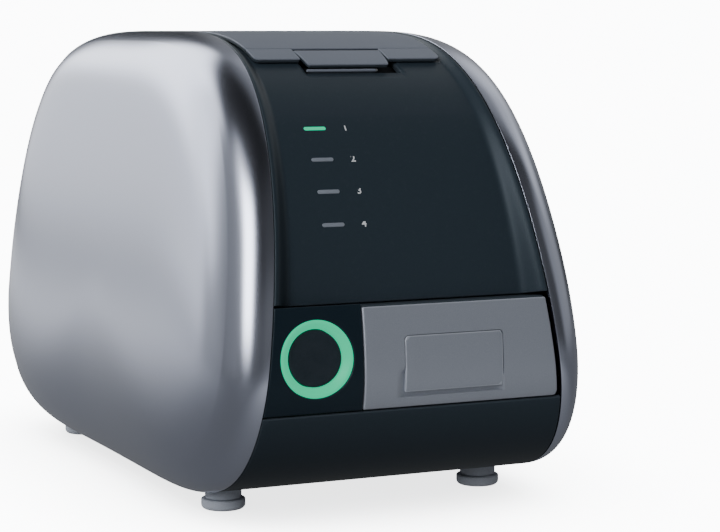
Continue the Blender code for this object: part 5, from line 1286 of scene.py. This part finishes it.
def two_layers(name, breaks, sides, start, end, corners, body=BODY, step=0.003):
    """A thin grey skin, and under it a dark base that ends a step inside it all round; the dark base is painted
    shade on the skin's front faces and walls. Sides gives the left and the right x at s."""
    plate(
        name, breaks, sides, start, end, lid_plastic(), body=body, step=step, edge=0.0003,
        wall=LID_SKIN, corners=corners, replaces=(name,),
    )

    def sides_below(s):
        left, right = sides(s)
        return left + LAYER_STEP, right - LAYER_STEP

    # Painted shade: the dark layer shows as the dark front faces and walls under the thin grey skin.
    plate(
        f"{name}_base", (breaks[0] + LAYER_STEP, breaks[1] - LAYER_STEP), sides_below, start + LAYER_STEP,
        end - LAYER_STEP, slate_plastic(), body=body, step=step, edge=0.0002, wall=LID_SHADE_LAYER,
        corners=corners, relief=lambda x, s: np.full_like(x, LID_SKIN),
    )


def lid():
    """The lid, the two strips beside the flap, and the flap on its barrels."""
    half = LID_HALF_WIDTH
    front, back = s_top(LID_FRONT_Y), s_top(LID_BACK_Y)
    sides = (-half, half)
    two_layers("top_cover", sides, lambda s: sides, front, back, (0.0006, 0.0006, 0.006, 0.006))
    front, back = s_top(STRIP_FRONT_Y), s_top(LID_FRONT_Y - SEAM_BETWEEN_PANELS)
    outer, inner, rear = 0.0028, 0.0006, 0.0004
    for side, name, low_corners in (
        (-1, "left_cover_strip", (outer, inner)), (1, "right_cover_strip", (inner, outer)),
    ):
        ends = sorted((FLAP_X + side * (FLAP_HALF_WIDTH + FLAP_GAP), side * half))
        corners = (*low_corners, rear, rear)
        two_layers(name, ends, lambda s, ends=ends: ends, front, back, corners, step=0.0015)
    nose, hinge = s_top(FLAP_FRONT_Y), s_top(HINGE_Y)

    def flap_sides(s):
        """The flap's sides, which draw in a little towards its nose."""
        width = FLAP_HALF_WIDTH - FLAP_TAPER * (hinge - s) / (hinge - nose)
        return FLAP_X - width, FLAP_X + width

    breaks = (FLAP_X - FLAP_HALF_WIDTH, FLAP_X + FLAP_HALF_WIDTH)
    two_layers("slot_flap", breaks, flap_sides, nose, hinge, (0.001, 0.001, 0, 0), "flap", 0.0015)


def flap_barrels():
    """The flap's two barrels: tubes round its hinge's axis, with a space for the spring between them."""
    joint = next(each for each in frame["joints"] if each["name"] == "flap_hinge")
    _, hinge_y, hinge_z = joint["pos_m"]
    bore, radius, edge = 0.00105, 0.0020, 0.0003
    inner, outer = 0.0035, FLAP_HALF_WIDTH - FLAP_GAP
    end = (outer - inner) / 2
    tube = rounded_profile((
        (bore, -end, 0), (radius, -end, edge), (radius, end, edge), (bore, end, 0), (bore, -end, 0),
    ))
    for side, label in ((-1, "left"), (1, "right")):
        place = (FLAP_X + side * (inner + outer) / 2, hinge_y, hinge_z)
        turned(f"flap_barrel_{label}", tube, place, (1, 0, 0), lid_plastic(), "flap", 40)


def rear_face():
    """The back panel with its vent slots and the cut-outs of the sockets and the switch."""
    start = s_top(BACK_SEAM_Y + SEAM_BETWEEN_PANELS)
    end = length_at(PROFILE_Y, UNDER_SEAM_Y, np.pi, 3 * np.pi / 2)
    core = 0.056
    outside = float(panel_side(s_back(0.06)))
    holes = []
    for number in range(VENT_COUNT):
        height = VENT_MIDDLE + VENT_PITCH * (number - (VENT_COUNT - 1) / 2)
        top, bottom = s_back(height + VENT_HALF_HEIGHT), s_back(height - VENT_HALF_HEIGHT)
        holes.append((-VENT_HALF_WIDTH, VENT_HALF_WIDTH, top, bottom))
    for node in ("power_inlet", "data_port", "switch_housing"):
        (left, _, low), (right, _, high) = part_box(node)
        top, bottom = s_back(high + SOCKET_GAP), s_back(low - SOCKET_GAP)
        holes.append((left - SOCKET_GAP, right + SOCKET_GAP, top, bottom))
    plate(
        "rear_panel", (-outside, -core, core, outside), lambda s: between_seams(s, -core, core), start, end,
        slate_plastic(), holes=holes, hole_edge=0.0004, replaces=("rear_panel",),
    )


def data_port_tongue():
    """The data port's tongue: a small bar with round edges that stands in the socket."""
    (left, inside, low), (right, outside, high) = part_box("data_port")
    y = np.array([inside + 0.0008, outside - 0.0060, outside - 0.0024, outside - 0.0021])
    path = np.stack((np.full_like(y, (left + right) / 2), y, np.full_like(y, (low + high) / 2)), axis=-1)
    section = box_section(0.0033, 0.0027, 0.0004)
    swept("data_port_tongue", path, (0, 0, 1), section, moulded_plastic(), BODY)


def underside():
    """The bottom panel, and the four rubber feet with their round lower edges and their necks."""
    start, end = s_under(UNDER_SEAM_Y - SEAM_BETWEEN_PANELS), s_under(SEAM_BETWEEN_PANELS - UNDER_SEAM_Y)
    half = float(panel_side(0.0))
    plate(
        "base_plate", (-half, half), between_seams, start, end, slate_plastic(), step=0.006,
        replaces=("base_plate",),
    )
    foot = rounded_profile((
        (0, 0.0055, 0), (0.01125, 0.0055, 0.0008), (0.01125, 0.0, 0.0024), (0.0085, 0.0, 0),
        (0.0080, 0.0006, 0), (0.0, 0.0006, 0),
    ), 8)
    neck = rounded_profile((
        (0, 0.0118, 0), (0.0105, 0.0118, 0), (0.0093, 0.0098, 0), (0.0093, 0.0058, 0.0003), (0, 0.0058, 0),
    ))
    for end_name, y in (("front", -FOOT_Y), ("rear", FOOT_Y)):
        for side_name, x in (("left", -FOOT_X), ("right", FOOT_X)):
            name = f"foot_{end_name}_{side_name}"
            neck_name = f"foot_neck_{end_name}_{side_name}"
            turned(name, foot[::-1], (x, y, 0), (0, 0, 1), rubber(), BODY, 72, (name,))
            turned(neck_name, neck[::-1], (x, y, 0), (0, 0, 1), rubber(), BODY, 64)


def inner_finishes():
    """A finish for every solid that shows itself, by its material slot."""
    sheet = finish(
        "zinc_sheet", (0.52, 0.53, 0.545), 0.42, metallic=1.0, speckle=0.12, blotch=0.3, speckle_scale=350.0,
        grain=0.08, grain_scale=500.0, cells=0.9, dust=0.05,
    )
    roll = finish(
        "roller_grip", (0.022, 0.022, 0.023), 0.75, speckle=0.25, blotch=0.15, grain=0.4, grain_scale=1100.0,
        cells=0.3, dust=0.1,
    )
    clear = finish(
        "clear_acrylic", (0.86, 0.93, 0.92), 0.06, speckle=0.02, blotch=0.02, rough_spread=0.1, dust=0.0,
        clear=1.0,
    )
    mask = finish(
        "solder_mask", (0.012, 0.11, 0.045), 0.38, speckle=0.5, speckle_scale=260.0, blotch=0.3, grain=0.3,
        grain_scale=400.0, cells=0.9, dust=0.04,
    )
    silvered = finish(
        "silvered_glass", (0.88, 0.89, 0.9), 0.04, metallic=1.0, speckle=0.01, blotch=0.01, rough_spread=0.1,
        dust=0.0,
    )
    by_slot = {
        "steel": turned_steel(), "chassis_steel": sheet, "black_plastic": moulded_plastic(),
        "roller_rubber": roll, "clear_plastic": clear, "circuit_board": mask, "mirror": silvered,
        "tray_paint": tray_paint(), "lid_plastic": lid_plastic(), "dark_plastic": slate_plastic(),
        "silver_paint": silver_paint(), "light_green": glow_plastic(), "light_grey": unlit_plastic(),
        "button_plastic": button_plastic(), "foot_rubber": rubber(),
    }
    for part in frame["record"]["subparts"]:
        node = frame["nodes"][part["node"]]
        for socket in node.material_slots:
            socket.material = by_slot[part["material_slot"]]


# The studio


def soft_share(wiring, value, low, high):
    """0 below low, 1 above high, and smooth between them."""
    ramp = wiring.node("ShaderNodeMapRange", interpolation_type="SMOOTHSTEP")
    wiring.link(value, ramp.inputs["Value"])
    ramp.inputs["From Min"].default_value = low
    ramp.inputs["From Max"].default_value = high
    return ramp.outputs["Result"]


def dot(wiring, way, aim):
    """The part of a direction that points along an aim."""
    product = wiring.node("ShaderNodeVectorMath", operation="DOT_PRODUCT")
    wiring.link(way, product.inputs[0])
    product.inputs[1].default_value = aim
    return product.outputs["Value"]


def softbox(wiring, way, turn, rise, half_width, half_height, soft):
    """A rectangle of light in the room: turn is its angle from +Y towards -X, rise its angle above the
    floor. With a and b the tangents sideways and upwards from its middle, it is 1 where both are small and
    fades out over the soft border."""
    turn, rise = math.radians(turn), math.radians(rise)
    aim = Vector((-math.sin(turn) * math.cos(rise), math.cos(turn) * math.cos(rise), math.sin(rise)))
    side = Vector((math.cos(turn), math.sin(turn), 0))
    ahead = dot(wiring, way, aim)
    share = soft_share(wiring, ahead, 0.02, 0.1)
    for axis, half in ((side, half_width), (side.cross(aim), half_height)):
        near = wiring.maths("MAXIMUM", ahead, 0.02)
        tangent = wiring.maths("ABSOLUTE", wiring.maths("DIVIDE", dot(wiring, way, axis), near))
        inside = wiring.maths("SUBTRACT", half + soft / 2, tangent)
        share = wiring.maths("MULTIPLY", share, soft_share(wiring, inside, 0.0, soft))
    return share


def glow_sum(wiring, base, patches):
    """A base brightness plus each patch times its strength."""
    total = base
    for patch, strength in patches:
        total = wiring.maths("MULTIPLY_ADD", patch, strength, total)
    return total


def only_camera(wiring, seen, otherwise):
    """One brightness for what the camera sees and another for all light that falls on things."""
    choice = wiring.node("ShaderNodeMix", data_type="FLOAT")
    wiring.link(wiring.node("ShaderNodeLightPath").outputs["Is Camera Ray"], choice.inputs[0])
    wiring.feed(choice.inputs[2], otherwise)
    wiring.feed(choice.inputs[3], seen)
    return choice.outputs[0]


def studio_room():
    """A room that the camera sees as plain and pale, and that lights and mirrors as softboxes."""
    world = bpy.data.worlds.new("room")
    bpy.context.scene.world = world
    world.use_nodes = True
    wiring = Wiring(world.node_tree)
    backdrop = world.node_tree.nodes["Background"]
    backdrop.inputs["Color"].default_value = ROOM_TINT
    way = wiring.node("ShaderNodeTexCoord").outputs["Generated"]
    glow = glow_sum(wiring, ROOM_BASE, [(softbox(wiring, way, *box[:-1]), box[-1]) for box in SOFTBOXES])
    wiring.link(only_camera(wiring, PALE, glow), backdrop.inputs["Strength"])


def studio_floor():
    """A floor that the camera sees as pale as the room, with a soft shade where things stand on it. In
    reflections it is dark, with brighter pools of light."""
    mesh = bpy.data.meshes.new("floor")
    corners = [(x * FLOOR_REACH, y * FLOOR_REACH, 0) for x, y in ((-1, -1), (1, -1), (1, 1), (-1, 1))]
    mesh.from_pydata(corners, [], [(0, 1, 2, 3)])
    paint = bpy.data.materials.new("floor_paint")
    paint.use_nodes = True
    wiring = Wiring(paint.node_tree)
    shader = paint.node_tree.nodes["Principled BSDF"]
    shader.inputs["Base Color"].default_value = (0.05, 0.052, 0.056, 1)
    shader.inputs["Roughness"].default_value = 0.9
    shader.inputs["Specular IOR Level"].default_value = 0.0
    shader.inputs["Emission Color"].default_value = ROOM_TINT

    shade = wiring.node("ShaderNodeAmbientOcclusion")
    shade.samples = 24
    shade.inputs["Distance"].default_value = 0.12
    open_share = soft_share(wiring, shade.outputs["AO"], 0.0, 1.0)
    seen = wiring.maths("MULTIPLY_ADD", open_share, PALE * 0.75, PALE * 0.25)
    place = wiring.node("ShaderNodeTexCoord").outputs["Object"]
    pools = []
    for middle, near, far, strength in POOLS:
        distance = wiring.node("ShaderNodeVectorMath", operation="DISTANCE")
        wiring.link(place, distance.inputs[0])
        distance.inputs[1].default_value = (*middle, 0)
        faded = soft_share(wiring, distance.outputs["Value"], near, far)
        pools.append((wiring.maths("SUBTRACT", 1.0, faded), strength))
    glow = glow_sum(wiring, FLOOR_BASE, pools)
    wiring.link(only_camera(wiring, seen, glow), shader.inputs["Emission Strength"])
    mesh.materials.append(paint)
    floor = bpy.data.objects.new("floor", mesh)
    bpy.context.scene.collection.objects.link(floor)


def fill_light():
    """A wide soft light from above the camera that shapes matt surfaces and doesn't show in glossy ones."""
    data = bpy.data.lights.new("fill_light", "AREA")
    data.size = FILL_SIZE
    data.energy = FILL_POWER
    light = bpy.data.objects.new("fill_light", data)
    light.location = FILL_PLACE
    light.rotation_euler = (Vector(FILL_AIM) - light.location).to_track_quat("-Z", "Y").to_euler()
    light.visible_glossy = False
    bpy.context.scene.collection.objects.link(light)


def studio():
    """The pale room and floor with their soft light, and the camera."""
    studio_room()
    studio_floor()
    fill_light()
    data = bpy.data.cameras.new("camera")
    data.lens = CAMERA_LENS
    data.sensor_width = CAMERA_SENSOR
    data.clip_end = 50.0
    camera = bpy.data.objects.new("camera", data)
    camera.location = CAMERA_PLACE
    camera.rotation_euler = (math.radians(90 - CAMERA_DIP), 0, math.radians(CAMERA_TURN))
    bpy.context.scene.collection.objects.link(camera)
    bpy.context.scene.camera = camera


# Operators, panel and registration


class SCANNER_OT_studio(bpy.types.Operator):
    """Adds the floor, the lights and the camera."""

    bl_idname = "scanner.studio"
    bl_label = "Studio"

    def execute(self, context):
        studio()
        return {"FINISHED"}


class SCANNER_OT_side_shells(bpy.types.Operator):
    """Adds the two domed silver side shells."""

    bl_idname = "scanner.side_shells"
    bl_label = "Side shells"

    def execute(self, context):
        side_shell("left_shell", -1)
        side_shell("right_shell", 1)
        return {"FINISHED"}


class SCANNER_OT_front_face(bpy.types.Operator):
    """Adds the sunken front panel, its rail, the slot's front guide and the trim beside the lid."""

    bl_idname = "scanner.front_face"
    bl_label = "Front face"

    def execute(self, context):
        front_face()
        front_crossbar()
        slot_guide()
        lid_trim()
        return {"FINISHED"}


class SCANNER_OT_status_lights(bpy.types.Operator):
    """Adds the status lights and their numbers."""

    bl_idname = "scanner.status_lights"
    bl_label = "Status lights"

    def execute(self, context):
        status_lights()
        return {"FINISHED"}


class SCANNER_OT_lower_face(bpy.types.Operator):
    """Adds the lower front panel and the button's panel."""

    bl_idname = "scanner.lower_face"
    bl_label = "Lower face"

    def execute(self, context):
        lower_face()
        button_face()
        return {"FINISHED"}


class SCANNER_OT_start_button(bpy.types.Operator):
    """Adds the start button, its ring light and its spring."""

    bl_idname = "scanner.start_button"
    bl_label = "Start button"

    def execute(self, context):
        ring_and_button()
        button_spring()
        return {"FINISHED"}


class SCANNER_OT_tray(bpy.types.Operator):
    """Adds the tray's front and its pull."""

    bl_idname = "scanner.tray"
    bl_label = "Tray"

    def execute(self, context):
        tray()
        return {"FINISHED"}


class SCANNER_OT_lid(bpy.types.Operator):
    """Adds the lid, the strips beside the flap, and the flap."""

    bl_idname = "scanner.lid"
    bl_label = "Lid and flap"

    def execute(self, context):
        lid()
        flap_barrels()
        return {"FINISHED"}


class SCANNER_OT_rear_face(bpy.types.Operator):
    """Adds the back panel with its vents and cut-outs."""

    bl_idname = "scanner.rear_face"
    bl_label = "Rear face"

    def execute(self, context):
        rear_face()
        data_port_tongue()
        return {"FINISHED"}


class SCANNER_OT_underside(bpy.types.Operator):
    """Adds the bottom panel and the feet."""

    bl_idname = "scanner.underside"
    bl_label = "Underside"

    def execute(self, context):
        underside()
        return {"FINISHED"}


class SCANNER_OT_inner_finishes(bpy.types.Operator):
    """Gives the solids that show themselves their finishes."""

    bl_idname = "scanner.inner_finishes"
    bl_label = "Inner finishes"

    def execute(self, context):
        inner_finishes()
        return {"FINISHED"}


PIECES = (
    SCANNER_OT_studio, SCANNER_OT_inner_finishes, SCANNER_OT_side_shells, SCANNER_OT_front_face,
    SCANNER_OT_status_lights, SCANNER_OT_lower_face, SCANNER_OT_start_button, SCANNER_OT_tray, SCANNER_OT_lid,
    SCANNER_OT_rear_face, SCANNER_OT_underside,
)


class SCANNER_PT_pieces(bpy.types.Panel):
    """Lists the scanner's pieces, sizes and colours."""

    bl_idname = "SCANNER_PT_pieces"
    bl_label = "Phosphor plate scanner"
    bl_space_type = "VIEW_3D"
    bl_region_type = "UI"
    bl_category = "Scanner"

    def draw(self, context):
        for made in PIECES:
            self.layout.operator(made.bl_idname)
        for group in (context.scene.scanner_sizes, context.scene.scanner_colours):
            for key in group.__annotations__:
                self.layout.prop(group, key)


CLASSES = (ScannerSizes, ScannerColours, *PIECES, SCANNER_PT_pieces)


def register():
    for made in CLASSES:
        bpy.utils.register_class(made)
    bpy.types.Scene.scanner_sizes = PointerProperty(type=ScannerSizes)
    bpy.types.Scene.scanner_colours = PointerProperty(type=ScannerColours)


def unregister():
    del bpy.types.Scene.scanner_colours
    del bpy.types.Scene.scanner_sizes
    for made in reversed(CLASSES):
        bpy.utils.unregister_class(made)


def main():
    register()
    for made in PIECES:
        space, name = made.bl_idname.split(".")
        getattr(getattr(bpy.ops, space), name)()


if __name__ == "__main__":
    main()
